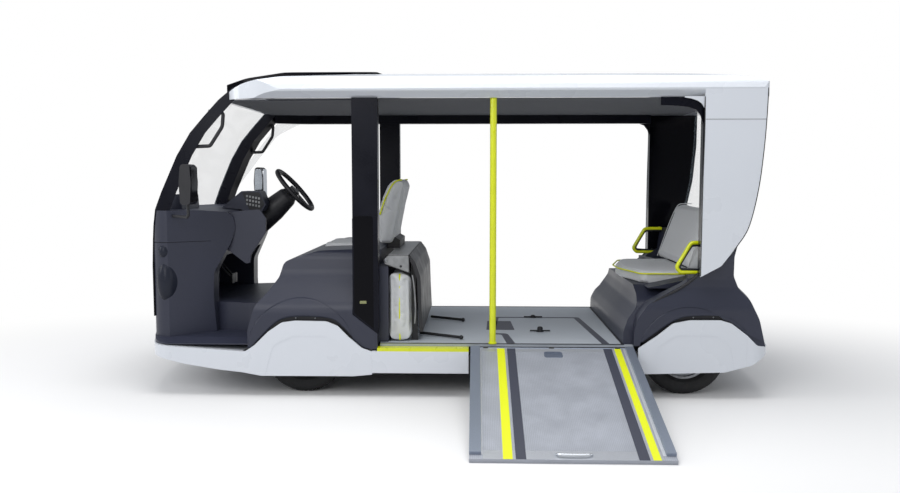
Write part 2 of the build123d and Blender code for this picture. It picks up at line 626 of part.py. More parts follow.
# Armrest loops, carried by the quarter linings
arm = tube_path([
    (1560, -700, 930), (1432, -700, 930), (1346, -700, 780), (1372, -700, 752), (1560, -700, 752)],
    [30, 22, 18], 12)
for z in (930, 752):
    arm += rod((1548, -700, z), (1548, -740, z), 14)
parts["armrests"] = pair(arm)

# Grab pole beside the ramp
pole = rod((POLE_X, POLE_Y, FLOOR_TOP), (POLE_X, POLE_Y, ROOF_UNDER), POLE_R)
pole += Pos(POLE_X, POLE_Y, FLOOR_TOP + 5) * Cylinder(26, 10)
parts["grab_pole"] = pole

# Second-row bench, folded against the bulkhead
parts["bench_cushion"] = prism([
    (-389, 316.3, 20), (-385, 770, 20), (-262, 740, 20), (-258, 316.3, 20)], BENCH_NEAR_Y, BENCH_FAR_Y)
BRACKET = [
    (-410, 792, 0), (-426, 823, 15), (-394, 850, 10), (-264, 850, 10), (-262, 738, 0)]
bench_frame = prism(BRACKET, BENCH_NEAR_Y - 10, BENCH_NEAR_Y + 14)
bench_frame += prism(BRACKET, BENCH_FAR_Y - 14, BENCH_FAR_Y + 10)
bench_frame += prism([(-390, 838, 0), (-264, 838, 0), (-264, 850, 0), (-390, 850, 0)],
                     BENCH_NEAR_Y, BENCH_FAR_Y)
bench_frame += prism([(-257, 316.3, 0), (-215, 316.3, 0), (-228, 600, 0), (-228, 790, 0), (-257, 838, 0)],
                     BENCH_NEAR_Y + 60, BENCH_NEAR_Y + 85)
bench_frame += prism([(-257, 316.3, 0), (-215, 316.3, 0), (-228, 600, 0), (-228, 790, 0), (-257, 838, 0)],
                     BENCH_FAR_Y - 85, BENCH_FAR_Y - 60)
SHELL = [
    (-262, 851, 0), (-226, 803, 60), (-196, 713, 80), (-191, 552, 80), (-183, 378, 0),
    (-203, 378, 0), (-212, 552, 60), (-218, 700, 60), (-245, 785, 40), (-262, 815, 0)]
bench_shell = prism(SHELL, BENCH_NEAR_Y, BENCH_FAR_Y)
parts["bench_cushion"] = parts["bench_cushion"] - bench_frame
parts["bench_frame"] = bench_frame
parts["bench_shell"] = bench_shell - bench_frame

# Tie-down arms that lie on the floor
TIE_DOWNS = [((-214, -455), (51, -609)), ((-176, 171), (53, 40))]
ties = Part()
for (x0, y0), (x1, y1) in TIE_DOWNS:
    ties += rod((x0, y0, 330), (x1, y1, 330), 9)
    ties += Pos(x1, y1, 330) * Sphere(13.5)
parts["tie_downs"] = ties - bench_frame

# Steering column and wheel
tilt = math.radians(90 - STEER_TILT)
AXIS_U = (math.cos(tilt), math.sin(tilt))


def along(t):
    return (STEER_X + t * AXIS_U[0], 0, STEER_Z + t * AXIS_U[1])


COLUMN = [
    (0, -430, 0), (88, -430, 0), (84, -200, 0), (68, -70, 30), (52, -42, 10), (14, -42, 0), (14, -22, 0),
    (0, -22, 0),
]
shroud = revolve(make_face(Plane.XZ * outline(COLUMN)), Axis.Z)
column = Plane(origin=along(0), z_dir=(AXIS_U[0], 0, AXIS_U[1])) * shroud
parts["steering_column"] = column
wheel_plane = Plane(origin=along(0), z_dir=(AXIS_U[0], 0, AXIS_U[1]), x_dir=(0, 1, 0))
wheel = wheel_plane * Torus(STEER_R, STEER_TUBE_R)
wheel += wheel_plane * (Pos(0, 0, -8) * Cylinder(38, 26))
for angle in (0, 180, 270):
    spoke = Pos(STEER_R / 2 + 5, 0, -4) * Box(STEER_R - 20, 26, 8)
    wheel += wheel_plane * (Rot(0, 0, angle) * spoke)
parts["steering_wheel"] = wheel

# Lamps: shallow domes on the rounded front corners
LAMPS = [
    # z, radius, stand-off
    (687, 125, 0), (862, 52, 0),
]
LAMP_TURN = 44
lamp = Part()
for z, radius, off in LAMPS:
    dome = Sphere(radius * 1.5) & (Pos(0, 0, radius * 1.5) * Cylinder(radius, radius * 1.5))
    dome = Pos(0, 0, -radius * 1.5 + 26) * dome
    place = Plane(origin=(-LENGTH / 2 + 132, -630, z), z_dir=(
        -math.cos(math.radians(LAMP_TURN)), -math.sin(math.radians(LAMP_TURN)), 0))
    lamp += place * dome
lamp = lamp - parts["front_cowl"] - parts["nose_panel"]
lamp = [piece for piece in lamp.solids() if piece.volume > 20000]
parts["headlamps"] = pair(Part() + lamp)

# Mirrors on arms that stand out from the cowl
mirror_case = prism([
    (-1588, 1160, 20), (-1594, 1290, 60), (-1584, 1398, 24), (-1530, 1398, 24), (-1522, 1290, 60),
    (-1530, 1160, 20)], -MIRROR_OUT, -MIRROR_OUT + 130)
arm = tube_path([
    (-1562, -MIRROR_OUT + 60, 1170), (-1562, -MIRROR_OUT + 62, 1085), (-1740, -650, 1085)], [24], 9)
parts["mirrors"] = pair(mirror_case + arm) - parts["front_cowl"]

# Ramp, drawn flat along -Y from its hinge and then lowered


def on_ramp(shape):
    return Pos(0, HINGE_Y, HINGE_Z) * (Rot(RAMP_ANGLE, 0, 0) * shape)


plate_x0 = RAMP_X0 + RAIL_NEAR
plate_x1 = RAMP_X1 - RAIL_FAR
plate = block(plate_x0, plate_x1, -RAMP_LENGTH, -14.5, -2, LIP_HIGH)
plate += block(RAMP_X0, RAMP_X1, -RAMP_LENGTH, -RAMP_LENGTH + LIP_DEEP, -RAIL_LOW, LIP_HIGH)
for k in range(7):
    x = plate_x0 + 60 + k * (plate_x1 - plate_x0 - 120) / 6
    plate += block(x - 6, x + 6, -RAMP_LENGTH + 60, -40, -RAIL_LOW, -1)
parts["ramp_plate"] = on_ramp(plate)
rails = Part()
for x0, x1 in ((RAMP_X0, plate_x0), (plate_x1, RAMP_X1)):
    rails += block(x0, x1, -RAMP_LENGTH + LIP_DEEP, -14, -RAIL_LOW, RAIL_HIGH)
hinge = rod((RAMP_X0 + 20, 0, 0), (RAMP_X1 - 20, 0, 0), HINGE_PIN_R)
hinge += block(RAMP_X0 + 20, RAMP_X1 - 20, -14.2, -3, -4, 4)
for x in HINGE_LUGS:
    hinge -= block(x - 20, x + 20, -14, 20, -20, 20)
    hinge += rod((x - 21, 0, 0), (x + 21, 0, 0), HINGE_PIN_R)
parts["ramp_rails"] = on_ramp(rails + hinge)

# Pieces that seat against one another give way here
SEATS = [
    # piece that is trimmed, piece that stays whole
    ("a_pillars", "roof_shell"), ("windscreen", "roof_shell"), ("dash_box", "front_cowl"),
    ("steering_column", "front_cowl"), ("steering_column", "dash_box"),
    ("roof_front_panel", "windscreen"), ("quarter_linings", "roof_shell"),
    ("quarter_linings", "rear_tub"), ("quarter_panels", "rear_tub"), ("b_pillars", "driver_tub"),
    ("a_pillars", "front_cowl"), ("windscreen", "front_cowl"), ("nose_panel", "front_cowl"),
    ("rear_axle", "chassis_frame"), ("front_cowl", "front_bumper"), ("armrests", "rear_tub"),
    ("armrests", "quarter_linings"), ("grab_handles", "a_pillars"), ("grab_handles", "windscreen"),
    ("rear_window", "roof_shell"), ("rear_window", "rear_tub"), ("rear_back", "rear_window"),
    ("quarter_glasses", "roof_shell"), ("quarter_glasses", "header_rail"),
    ("quarter_glasses", "front_cowl"), ("quarter_glasses", "a_pillars"),
    ("seat_back_frame", "driver_back"), ("driver_back", "driver_tub"),
    ("header_rail", "quarter_linings"), ("header_rail", "a_pillars"),
    ("rear_bumper", "rear_tub"), ("chassis_frame", "rear_tub"),
    ("rear_axle", "rear_tub"), ("dash_box", "a_pillars"), ("roof_lining", "a_pillars"),
    ("roof_front_panel", "a_pillars"), ("quarter_panels", "roof_shell"),
    ("headlamps", "nose_panel"), ("headlamps", "front_cowl"), ("header_rail", "roof_shell"),
]
for name, whole in SEATS:
    parts[name] = Part() + (parts[name] - parts[whole])

os.makedirs("parts", exist_ok=True)
for name, shape in parts.items():
    moved = Pos(0, CENTRELINE_Y, 0) * shape
    export_step(moved, "parts/" + name + ".step")
    box = moved.bounding_box()
    print(name, len(shape.solids()), round(shape.volume / 1e6, 2), [round(v) for v in (
        box.min.X, box.max.X, box.min.Y - CENTRELINE_Y, box.max.Y - CENTRELINE_Y, box.min.Z, box.max.Z)])
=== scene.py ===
"""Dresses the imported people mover: finishes on the CAD nodes, padded seats, ramp and floor details."""

import json
import math
import bmesh
import bpy
from mathutils import Matrix, Vector


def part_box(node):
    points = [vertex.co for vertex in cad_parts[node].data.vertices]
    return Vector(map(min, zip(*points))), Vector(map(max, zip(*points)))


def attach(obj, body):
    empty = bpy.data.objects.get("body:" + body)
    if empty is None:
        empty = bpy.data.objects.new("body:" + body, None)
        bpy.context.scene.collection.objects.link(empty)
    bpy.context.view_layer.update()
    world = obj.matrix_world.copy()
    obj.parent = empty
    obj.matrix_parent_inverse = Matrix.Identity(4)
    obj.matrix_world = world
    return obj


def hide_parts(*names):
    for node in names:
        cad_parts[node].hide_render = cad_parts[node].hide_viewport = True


bl_info = {
    "name": "People mover dressing",
    "version": (1, 0, 0),
    "blender": (4, 5, 0),
    "location": "View3D > Sidebar > People mover",
    "description": "Gives the shuttle its finishes, padded seats, ramp details and studio",
    "category": "Object",
}

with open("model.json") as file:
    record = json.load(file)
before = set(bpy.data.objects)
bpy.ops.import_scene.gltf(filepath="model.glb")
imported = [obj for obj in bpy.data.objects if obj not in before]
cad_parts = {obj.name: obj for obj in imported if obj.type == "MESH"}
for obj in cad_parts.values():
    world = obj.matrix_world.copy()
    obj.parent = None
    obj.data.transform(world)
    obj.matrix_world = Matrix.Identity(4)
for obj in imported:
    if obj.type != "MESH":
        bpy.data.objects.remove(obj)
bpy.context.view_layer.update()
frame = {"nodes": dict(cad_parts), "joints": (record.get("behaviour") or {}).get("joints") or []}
NODES = frame["nodes"]


def span(node):
    """Lowest and highest x, y and z of a CAD node."""
    low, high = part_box(node)
    return low.x, high.x, low.y, high.y, low.z, high.z


_, _, FLOOR_Y0, FLOOR_Y1, _, FLOOR_Z = span("cabin_floor")
MIDDLE = (FLOOR_Y0 + FLOOR_Y1) / 2
JOINTS = {joint["name"]: joint for joint in frame["joints"]}

# Ramp, as it lies on the ground on the lower edge of its rails
RAMP_LENGTH = 1.203
RAIL_LOW = 0.012
RAMP_PLATE_TOP = 0.008
HINGE = Vector(JOINTS["ramp_hinge"]["pos_m"])
RAMP_TILT = math.asin(HINGE.z / math.hypot(RAMP_LENGTH, RAIL_LOW)) - math.atan2(RAIL_LOW, RAMP_LENGTH)

# Camera, from the photograph
VIEW_FROM = (0.1364, -5.7973, 1.3231)
VIEW_YAW = -0.0299
VIEW_PITCH = 0.0821
VIEW_LENS = 33.807


# Settings that a user would change
class MoverColours(bpy.types.PropertyGroup):
    """Colours of the shuttle's finishes."""

    body: bpy.props.FloatVectorProperty(
        name="Body white", description="Paint of the roof, panels and covers", subtype="COLOR",
        size=3, min=0, max=1, default=(0.83, 0.86, 0.91))
    trim: bpy.props.FloatVectorProperty(
        name="Trim navy", description="Moulded lower body and cowl", subtype="COLOR",
        size=3, min=0, max=1, default=(0.024, 0.027, 0.047))
    accent: bpy.props.FloatVectorProperty(
        name="Accent yellow", description="Pole, armrests, piping and stripes", subtype="COLOR",
        size=3, min=0, max=1, default=(0.84, 0.90, 0.004))
    seat: bpy.props.FloatVectorProperty(
        name="Seat grey", description="Vinyl of the seats", subtype="COLOR",
        size=3, min=0, max=1, default=(0.83, 0.84, 0.85))
    deck: bpy.props.FloatVectorProperty(
        name="Deck grey", description="Cabin floor covering", subtype="COLOR",
        size=3, min=0, max=1, default=(0.52, 0.56, 0.61))
    metal: bpy.props.FloatVectorProperty(
        name="Ramp grey", description="Ramp plate", subtype="COLOR",
        size=3, min=0, max=1, default=(0.42, 0.44, 0.49))


class MoverSizes(bpy.types.PropertyGroup):
    """Sizes of the details that the scene adds."""

    piping: bpy.props.FloatProperty(
        name="Piping", description="Radius of the seat piping", default=0.005, unit="LENGTH")
    puff: bpy.props.FloatProperty(
        name="Puff", description="How far a pad may swell", default=0.014, unit="LENGTH")
    lug: bpy.props.FloatProperty(
        name="Lug", description="Radius of a wheel nut", default=0.009, unit="LENGTH")


def colours():
    return bpy.context.scene.mover_colours


def sizes():
    return bpy.context.scene.mover_sizes


# Shader formulas
class Shade:
    """A socket in a formula: each operator adds the Math node that works it out."""

    def __init__(self, finish, socket):
        self.finish = finish
        self.socket = socket

    def maths(self, operation, *terms):
        return self.finish.node("ShaderNodeMath", {"operation": operation}, dict(enumerate(terms)))

    def __add__(self, other):
        return self.maths("ADD", self, other)

    def __radd__(self, other):
        return self.maths("ADD", other, self)

    def __sub__(self, other):
        return self.maths("SUBTRACT", self, other)

    def __rsub__(self, other):
        return self.maths("SUBTRACT", other, self)

    def __mul__(self, other):
        return self.maths("MULTIPLY", self, other)

    def __rmul__(self, other):
        return self.maths("MULTIPLY", other, self)

    def __truediv__(self, other):
        return self.maths("DIVIDE", self, other)

    def __rtruediv__(self, other):
        return self.maths("DIVIDE", other, self)

    def __mod__(self, other):
        return self.maths("FLOORED_MODULO", self, other)

    def __abs__(self):
        return self.maths("ABSOLUTE", self)

    def sine(self):
        return self.maths("SINE", self)

    def ramp(self, low, high, first=0.0, last=1.0):
        """Smooth step of this value from first at low to last at high."""
        return self.finish.node("ShaderNodeMapRange", {"interpolation_type": "SMOOTHSTEP"}, {
            "Value": self, "From Min": low, "From Max": high, "To Min": first, "To Max": last})


class Finish:
    """A node material: its shader's own sockets, and the nodes that feed them."""

    def __init__(self, name, **own):
        self.material = bpy.data.materials.new(name)
        self.material.use_nodes = True
        self.tree = self.material.node_tree
        self.shader = self.tree.nodes["Principled BSDF"]
        for key, value in own.items():
            self.feed(self.shader.inputs[key.replace("_", " ")], value)

    def node(self, kind, settings=None, values=None, out=0):
        made = self.tree.nodes.new(kind)
        for key, value in (settings or {}).items():
            setattr(made, key, value)
        for key, value in (values or {}).items():
            self.feed(made.inputs[key], value)
        return Shade(self, made.outputs[out])

    def feed(self, socket, value):
        if isinstance(value, Shade):
            self.tree.links.new(value.socket, socket)
        elif socket.type == "RGBA" and len(value) == 3:
            socket.default_value = (*value, 1)
        else:
            socket.default_value = value

    def set(self, **fed):
        for key, value in fed.items():
            self.feed(self.shader.inputs[key.replace("_", " ")], value)
        return self

    def place(self):
        """Position on the object, in metres."""
        return self.node("ShaderNodeTexCoord", out="Object")

    def axes(self):
        split = self.tree.nodes.new("ShaderNodeSeparateXYZ")
        self.feed(split.inputs[0], self.place())
        return [Shade(self, split.outputs[k]) for k in range(3)]

    def noise(self, scale, detail=3.0, rough=0.5, at=None):
        return self.node("ShaderNodeTexNoise", {}, {
            "Vector": at or self.place(), "Scale": scale, "Detail": detail, "Roughness": rough})

    def cells(self, scale, feature="F1", at=None):
        return self.node("ShaderNodeTexVoronoi", {"feature": feature}, {
            "Vector": at or self.place(), "Scale": scale})

    def blend(self, mask, first, second):
        """Colour from first, where mask is 0, to second, where it is 1."""
        return self.node("ShaderNodeMix", {"data_type": "RGBA"}, {
            0: mask, 6: self.whole(first), 7: self.whole(second)}, out=2)

    def whole(self, colour):
        return colour if isinstance(colour, Shade) or len(colour) == 4 else (*colour, 1)

    def bump(self, height, distance, strength=1.0):
        return self.set(Normal=self.node("ShaderNodeBump", {}, {
            "Strength": strength, "Distance": distance, "Height": height}))


def shaded(colour, factor):
    return tuple(min(1.0, channel * factor) for channel in colour)


def drifting(name, spots, mask, pair, rough, grain, **own):
    """Finish whose colour and roughness drift together, over a fine grain that stands out a little."""
    f = Finish(name, **own)
    drift = f.noise(*spots)
    f.set(Base_Color=f.blend(drift.ramp(*mask), *pair), Roughness=drift.ramp(*rough))
    scale, detail, distance, strength = grain
    return f.bump(f.noise(scale, detail), distance, strength)


# One function for each finish
def body_paint():
    colour = tuple(colours().body)
    return drifting(
        "body_paint", (2.3, 4), (0.3, 0.7), (shaded(colour, 0.985), colour), (0.3, 0.7, 0.25, 0.33),
        (420, 2, 0.00012, 0.25), Coat_Weight=0.6, Coat_Roughness=0.06, Coat_IOR=1.45)


def moulded_trim():
    """Satin moulded plastic with a fine grain and a slight bloom."""
    colour = tuple(colours().trim)
    f = Finish("moulded_trim", Roughness=0.42)
    drift = f.noise(1.7, 5)
    f.set(Base_Color=f.blend(drift.ramp(0.35, 0.7), colour, shaded(colour, 1.18)))
    grain = f.cells(1500)
    f.set(Roughness=drift.ramp(0.3, 0.7, 0.36, 0.44) + grain * 0.05)
    return f.bump(grain, 0.00012, 0.35)


def gloss_black():
    f = Finish("gloss_black", Base_Color=(0.002, 0.002, 0.004), Specular_IOR_Level=0.1)
    smear = f.noise(6, 5, 0.6)
    return f.set(Roughness=smear.ramp(0.4, 0.7, 0.10, 0.20)).bump(f.noise(500, 2), 0.00006, 0.2)


def pillar_black():
    """Painted pillar: a deep blue black, satin against the gloss panel let into it."""
    return drifting(
        "pillar_black", (5, 5), (0.3, 0.7), ((0.0035, 0.004, 0.009), (0.0055, 0.006, 0.012)),
        (0.3, 0.7, 0.26, 0.36), (500, 2, 0.00006, 0.2), Specular_IOR_Level=0.14)


def bracket_grey():
    return drifting(
        "bracket_grey", (22, 5), (0.3, 0.7), ((0.24, 0.245, 0.25), (0.33, 0.335, 0.34)),
        (0.3, 0.7, 0.35, 0.5), (600, 2, 0.0002, 0.3), Metallic=0.6)


def marker_olive():
    f = Finish("marker_olive", Roughness=0.4)
    drift = f.noise(60, 3)
    f.set(Base_Color=f.blend(drift, (0.26, 0.27, 0.12), (0.32, 0.33, 0.15)))
    return f.bump(f.noise(500, 2), 0.0001, 0.2)


def satin_black():
    f = Finish("satin_black")
    drift = f.noise(9, 5)
    f.set(Base_Color=f.blend(drift.ramp(0.3, 0.7), (0.008, 0.008, 0.011), (0.014, 0.014, 0.018)))
    f.set(Roughness=drift.ramp(0.3, 0.7, 0.42, 0.55))
    return f.bump(f.cells(1300), 0.00015, 0.4)


def accent_paint():
    colour = tuple(colours().accent)
    return drifting(
        "accent_paint", (14, 4), (0.3, 0.7), (shaded(colour, 0.95), colour), (0.3, 0.7, 0.27, 0.36),
        (380, 2, 0.0001, 0.2), Coat_Weight=0.5, Coat_Roughness=0.08)


def seat_vinyl(name="seat_vinyl", tint=1.0):
    """Fine leather grain: small cells with soft creases between them, and painted shade that darkens the
    creases.
    """
    # a factor below 1 gives a darker copy of the vinyl: painted shade for a seat's shaded side
    colour = shaded(tuple(colours().seat), tint)
    f = Finish(name, Sheen_Weight=0.12, Sheen_Roughness=0.5)
    bent = f.node("ShaderNodeVectorMath", {"operation": "ADD"}, {
        0: f.place(), 1: f.node("ShaderNodeVectorMath", {"operation": "SCALE"}, {
            0: f.node("ShaderNodeTexNoise", {}, {"Vector": f.place(), "Scale": 60.0}, out=1),
            "Scale": 0.004})})
    crease_and_shade = f.cells(520, "DISTANCE_TO_EDGE", bent).ramp(0.0, 0.35)
    drift = f.noise(5, 4)
    worn = f.blend(drift.ramp(0.35, 0.7), shaded(colour, 0.95), colour)
    # painted shade: the creases are darkened to 0.86 of the colour
    f.set(Base_Color=f.blend(crease_and_shade, shaded(colour, 0.86), worn))
    f.set(Roughness=0.60 - crease_and_shade * 0.12 + drift * 0.06)
    return f.bump(crease_and_shade + f.noise(1400, 2) * 0.25, 0.0005, 0.55)


# darker copy of the seat vinyl at 0.93: painted shade for the seat's side, used on the rear back's side
# seams
def seat_side_shade():
    return seat_vinyl("seat_side_shade", 0.93)


def piping():
    colour = tuple(colours().accent)
    f = Finish("piping", Roughness=0.45)
    twist = f.cells(900)
    f.set(Base_Color=f.blend(twist.ramp(0.0, 0.5), shaded(colour, 0.82), colour))
    return f.bump(twist, 0.0003, 0.4)


def deck_covering():
    """Rubbery floor sheet with a fine fleck."""
    colour = tuple(colours().deck)
    f = Finish("deck_covering")
    fleck = f.cells(700)
    drift = f.noise(2.2, 5)
    plain = f.blend(drift.ramp(0.3, 0.7), shaded(colour, 0.94), colour)
    f.set(Base_Color=f.blend(fleck.ramp(0.05, 0.25), shaded(colour, 0.8), plain))
    f.set(Roughness=drift.ramp(0.3, 0.7, 0.52, 0.64))
    return f.bump(fleck, 0.0003, 0.4)


def taped(name, dull, bright, rough):
    """Flecked non-slip tape."""
    f = Finish(name)
    fleck = f.cells(800)
    f.set(Base_Color=f.blend(fleck.ramp(0.1, 0.4), dull, bright))
    return f.set(Roughness=rough + fleck * 0.1).bump(fleck, 0.0003, 0.4)


def stripe_navy():
    return taped("stripe_navy", (0.035, 0.038, 0.058), (0.048, 0.052, 0.078), 0.5)


def stripe_yellow():
    colour = tuple(colours().accent)
    return taped("stripe_yellow", shaded(colour, 0.88), colour, 0.48)


def sheet_metal():
    """Perforated non-slip sheet: rows of raised and pierced dimples 9 mm apart, with painted shade darkening
    each dimple's hollow to half the colour.
    """
    colour = tuple(colours().metal)
    f = Finish("sheet_metal", Metallic=0.25)
    x, y, z = f.axes()
    pitch = 0.009
    row = abs((x % pitch) / pitch - 0.5) * 2
    line = abs((y % pitch) / pitch - 0.5) * 2
    pit_and_shade = (row * line).ramp(0.45, 0.75)
    scuff = f.noise(7, 6, 0.65)
    plain = f.blend(scuff.ramp(0.35, 0.75), colour, shaded(colour, 1.14))
    # painted shade: the dimple hollows at half the colour
    f.set(Base_Color=f.blend(pit_and_shade, plain, shaded(colour, 0.5)))
    f.set(Roughness=scuff.ramp(0.3, 0.7, 0.38, 0.52))
    return f.bump(1 - pit_and_shade, 0.0012, 0.7)


def bare_alloy(name="bare_alloy", tint=(0.30, 0.34, 0.42)):
    """Extruded rail, with a brushed line along it."""
    f = Finish(name, Metallic=0.55)
    x, y, z = f.axes()
    streak = f.noise(1.0, 5, 0.6, f.node("ShaderNodeCombineXYZ", {}, {0: x * 900, 1: y * 7, 2: z * 900}))
    f.set(Base_Color=f.blend(streak.ramp(0.3, 0.7), shaded(tint, 0.88), shaded(tint, 1.1)))
    f.set(Roughness=streak.ramp(0.3, 0.7, 0.30, 0.42))
    return f.bump(streak, 0.0002, 0.3)


def light_edge():
    return bare_alloy("light_edge", (0.78, 0.80, 0.84))


def ramp_band():
    return bare_alloy("ramp_band", (0.52, 0.54, 0.58))


def pocket_blue():
    return drifting(
        "pocket_blue", (60, 4), (0.3, 0.7), ((0.115, 0.14, 0.20), (0.15, 0.18, 0.24)),
        (0.3, 0.7, 0.36, 0.5), (700, 2, 0.0002, 0.3), Metallic=0.3)


def chassis_paint():
    return drifting(
        "chassis_paint", (11, 6, 0.65), (0.45, 0.8), ((0.012, 0.012, 0.014), (0.045, 0.042, 0.038)),
        (0.3, 0.8, 0.45, 0.8), (260, 3, 0.0004, 0.4))


def tyre_rubber():
    return drifting(
        "tyre_rubber", (16, 6, 0.7), (0.5, 0.8), ((0.009, 0.009, 0.010), (0.03, 0.028, 0.026)),
        (0.3, 0.8, 0.62, 0.85), (500, 3, 0.0005, 0.5))


def wheel_steel():
    return drifting(
        "wheel_steel", (30, 5, 0.6), (0.5, 0.8), ((0.30, 0.31, 0.33), (0.17, 0.165, 0.16)),
        (0.3, 0.8, 0.34, 0.6), (420, 3, 0.0002, 0.3), Metallic=0.7)


def clear_glass():
    f = Finish("clear_glass", Base_Color=(0.62, 0.72, 0.78), IOR=1.45, Coat_Weight=0.3)
    f.set(Alpha=0.13, Roughness=f.noise(3, 4).ramp(0.3, 0.8, 0.01, 0.04))
    f.material.surface_render_method = "BLENDED"
    return f


def smoked_lens():
    f = Finish("smoked_lens", Base_Color=(0.022, 0.025, 0.038), Specular_IOR_Level=0.16)
    ribs = (f.axes()[2] * 900).sine()
    return f.set(Roughness=f.noise(9, 3).ramp(0.3, 0.7, 0.22, 0.30)).bump(ribs, 0.0003, 0.3)


def head_lining():
    f = Finish("head_lining")
    knit = f.cells(900)
    f.set(Base_Color=f.blend(knit.ramp(0.1, 0.5), (0.09, 0.095, 0.11), (0.14, 0.145, 0.16)))
    return f.set(Roughness=0.85 + knit * 0.1).bump(knit, 0.0004, 0.5)


def mirror_silver():
    f = Finish("mirror_silver", Base_Color=(0.82, 0.85, 0.88), Metallic=1.0)
    return f.set(Roughness=f.noise(12, 4).ramp(0.3, 0.8, 0.02, 0.06))


FINISHES = {}


def finish(made_by):
    """The material of a finish function, made once."""
    if made_by.__name__ not in FINISHES:
        FINISHES[made_by.__name__] = made_by().material
    return FINISHES[made_by.__name__]


# CAD nodes and the finish and record slot that each takes
NODE_FINISHES = [
    # finish, slot, nodes
    (body_paint, "painted_white", (
        "front_wheel_covers", "rear_wheel_covers", "front_bumper", "rear_bumper", "sills",
        "roof_shell", "quarter_panels")),
    (moulded_trim, "navy_satin", ("front_cowl", "driver_tub", "rear_tub", "dash_box")),
    (gloss_black, "black_gloss", ("roof_front_panel", "nose_panel", "quarter_linings")),
    (pillar_black, "black_gloss", ("b_pillars", "a_pillars", "header_rail")),
    (satin_black, "black_satin", (
        "bench_shell", "steering_column", "steering_wheel",
        "mirrors", "grab_handles")),
    (smoked_lens, "black_satin", ("headlamps",)),
    (accent_paint, "yellow_gloss", ("sill_strip", "grab_pole", "armrests")),
    (deck_covering, "floor_grey", ("cabin_floor",)),
    (sheet_metal, "ramp_aluminium", ("ramp_plate",)),
    (bare_alloy, "ramp_aluminium", ("ramp_rails",)),
    (chassis_paint, "dark_steel", (
        "chassis_frame", "battery_pack", "front_axle", "rear_axle", "knuckle_left",
        "knuckle_right", "bench_frame", "tie_downs", "seat_back_frame")),
    (wheel_steel, "rim_steel", (
        "rim_front_left", "rim_front_right", "rim_rear_left", "rim_rear_right")),
    (tyre_rubber, "tyre", (
        "tyre_front_left", "tyre_front_right", "tyre_rear_left", "tyre_rear_right")),
    (head_lining, "grey_lining", ("roof_lining",)),
    (clear_glass, "clear_glass", ("windscreen", "quarter_glasses", "rear_window")),
    (seat_vinyl, "seat_vinyl", (
        "driver_cushion", "driver_back", "rear_cushion", "rear_back", "bench_cushion")),
]
SLOT_OF = {row[0]: row[1] for row in NODE_FINISHES}
SLOT_OF.update({
    bracket_grey: "dark_steel", marker_olive: "yellow_gloss",
    light_edge: "ramp_aluminium", ramp_band: "ramp_aluminium", pocket_blue: "ramp_aluminium",
    seat_side_shade: "seat_vinyl", piping: "yellow_gloss", stripe_navy: "navy_satin",
    stripe_yellow: "yellow_gloss", mirror_silver: "rim_steel",
})


# Making pieces
def piece(name, mesh, made_by, body="vehicle"):
    """Links a mesh as a piece with its finish and rides it on a body."""
    made = bpy.data.objects.new(name, mesh)
    bpy.context.scene.collection.objects.link(made)
    made.data.materials.append(finish(made_by))
    if isinstance(mesh, bpy.types.Mesh):
        mesh.shade_smooth()
    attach(made, body)
    return made


def mesh_of(bm, name):
    bmesh.ops.recalc_face_normals(bm, faces=bm.faces)
    mesh = bpy.data.meshes.new(name)
    bm.to_mesh(mesh)
    bm.free()
    return mesh


def rounded(points, steps=5):
    """Plane outline of (a, b, radius) rows, with each corner as an arc."""
    out = []
    count = len(points)
    for k, (a, b, radius) in enumerate(points):
        here = Vector((a, b))
        before = Vector(points[k - 1][:2]) - here
        after = Vector(points[(k + 1) % count][:2]) - here
        turn = before.angle(after)
        if radius <= 0 or turn > math.pi - 0.02:
            out.append(here)
            continue
        reach = min(radius / math.tan(turn / 2), before.length * 0.49, after.length * 0.49)
        first = here + before.normalized() * reach
        last = here + after.normalized() * reach
        for s in range(steps + 1):
            t = s / steps
            out.append((1 - t) ** 2 * first + 2 * t * (1 - t) * here + t * t * last)
    return out


def rectangle(a, b, half_a, half_b, radius):
    """Rounded rectangle round a middle, as (a, b, radius) rows."""
    return [(a - half_a, b - half_b, radius), (a + half_a, b - half_b, radius),
            (a + half_a, b + half_b, radius), (a - half_a, b + half_b, radius)]


SIDES = {-1: "near", 1: "far"}


def centred(points):
    """Outline in x and y, moved from the vehicle's middle to the frame."""
    return [Vector((p[0], p[1] + MIDDLE)) for p in points]


PLANES = {
    "xz": lambda a, b, depth: Vector((a, depth, b)),
    "xy": lambda a, b, depth: Vector((a, b, depth)),
    "yz": lambda a, b, depth: Vector((depth, a, b)),
}


def prism_mesh(points, plane, low, high):
    """Closed prism of an outline in a plane, between two depths."""
    bm = bmesh.new()
    put = PLANES[plane]
    rings = [[bm.verts.new(put(p[0], p[1], depth)) for p in points] for depth in (low, high)]
    bm.faces.new(rings[0])
    bm.faces.new(list(reversed(rings[1])))
    count = len(points)
    for k in range(count):
        j = (k + 1) % count
        bm.faces.new((rings[0][k], rings[0][j], rings[1][j], rings[1][k]))
    return bm


def soften(made, width, segments=2, angle=0.6):
    bevel = made.modifiers.new("Edge", "BEVEL")
    bevel.width = width
    bevel.segments = segments
    bevel.limit_method = "ANGLE"
    bevel.angle_limit = angle
    bevel.harden_normals = True
    return made


def plate(name, points, plane, low, high, made_by, body="vehicle", edge=0.001):
    """Thin or solid piece of an outline, with softened edges."""
    made = piece(name, mesh_of(prism_mesh(points, plane, low, high), name), made_by, body)
    return soften(made, edge)


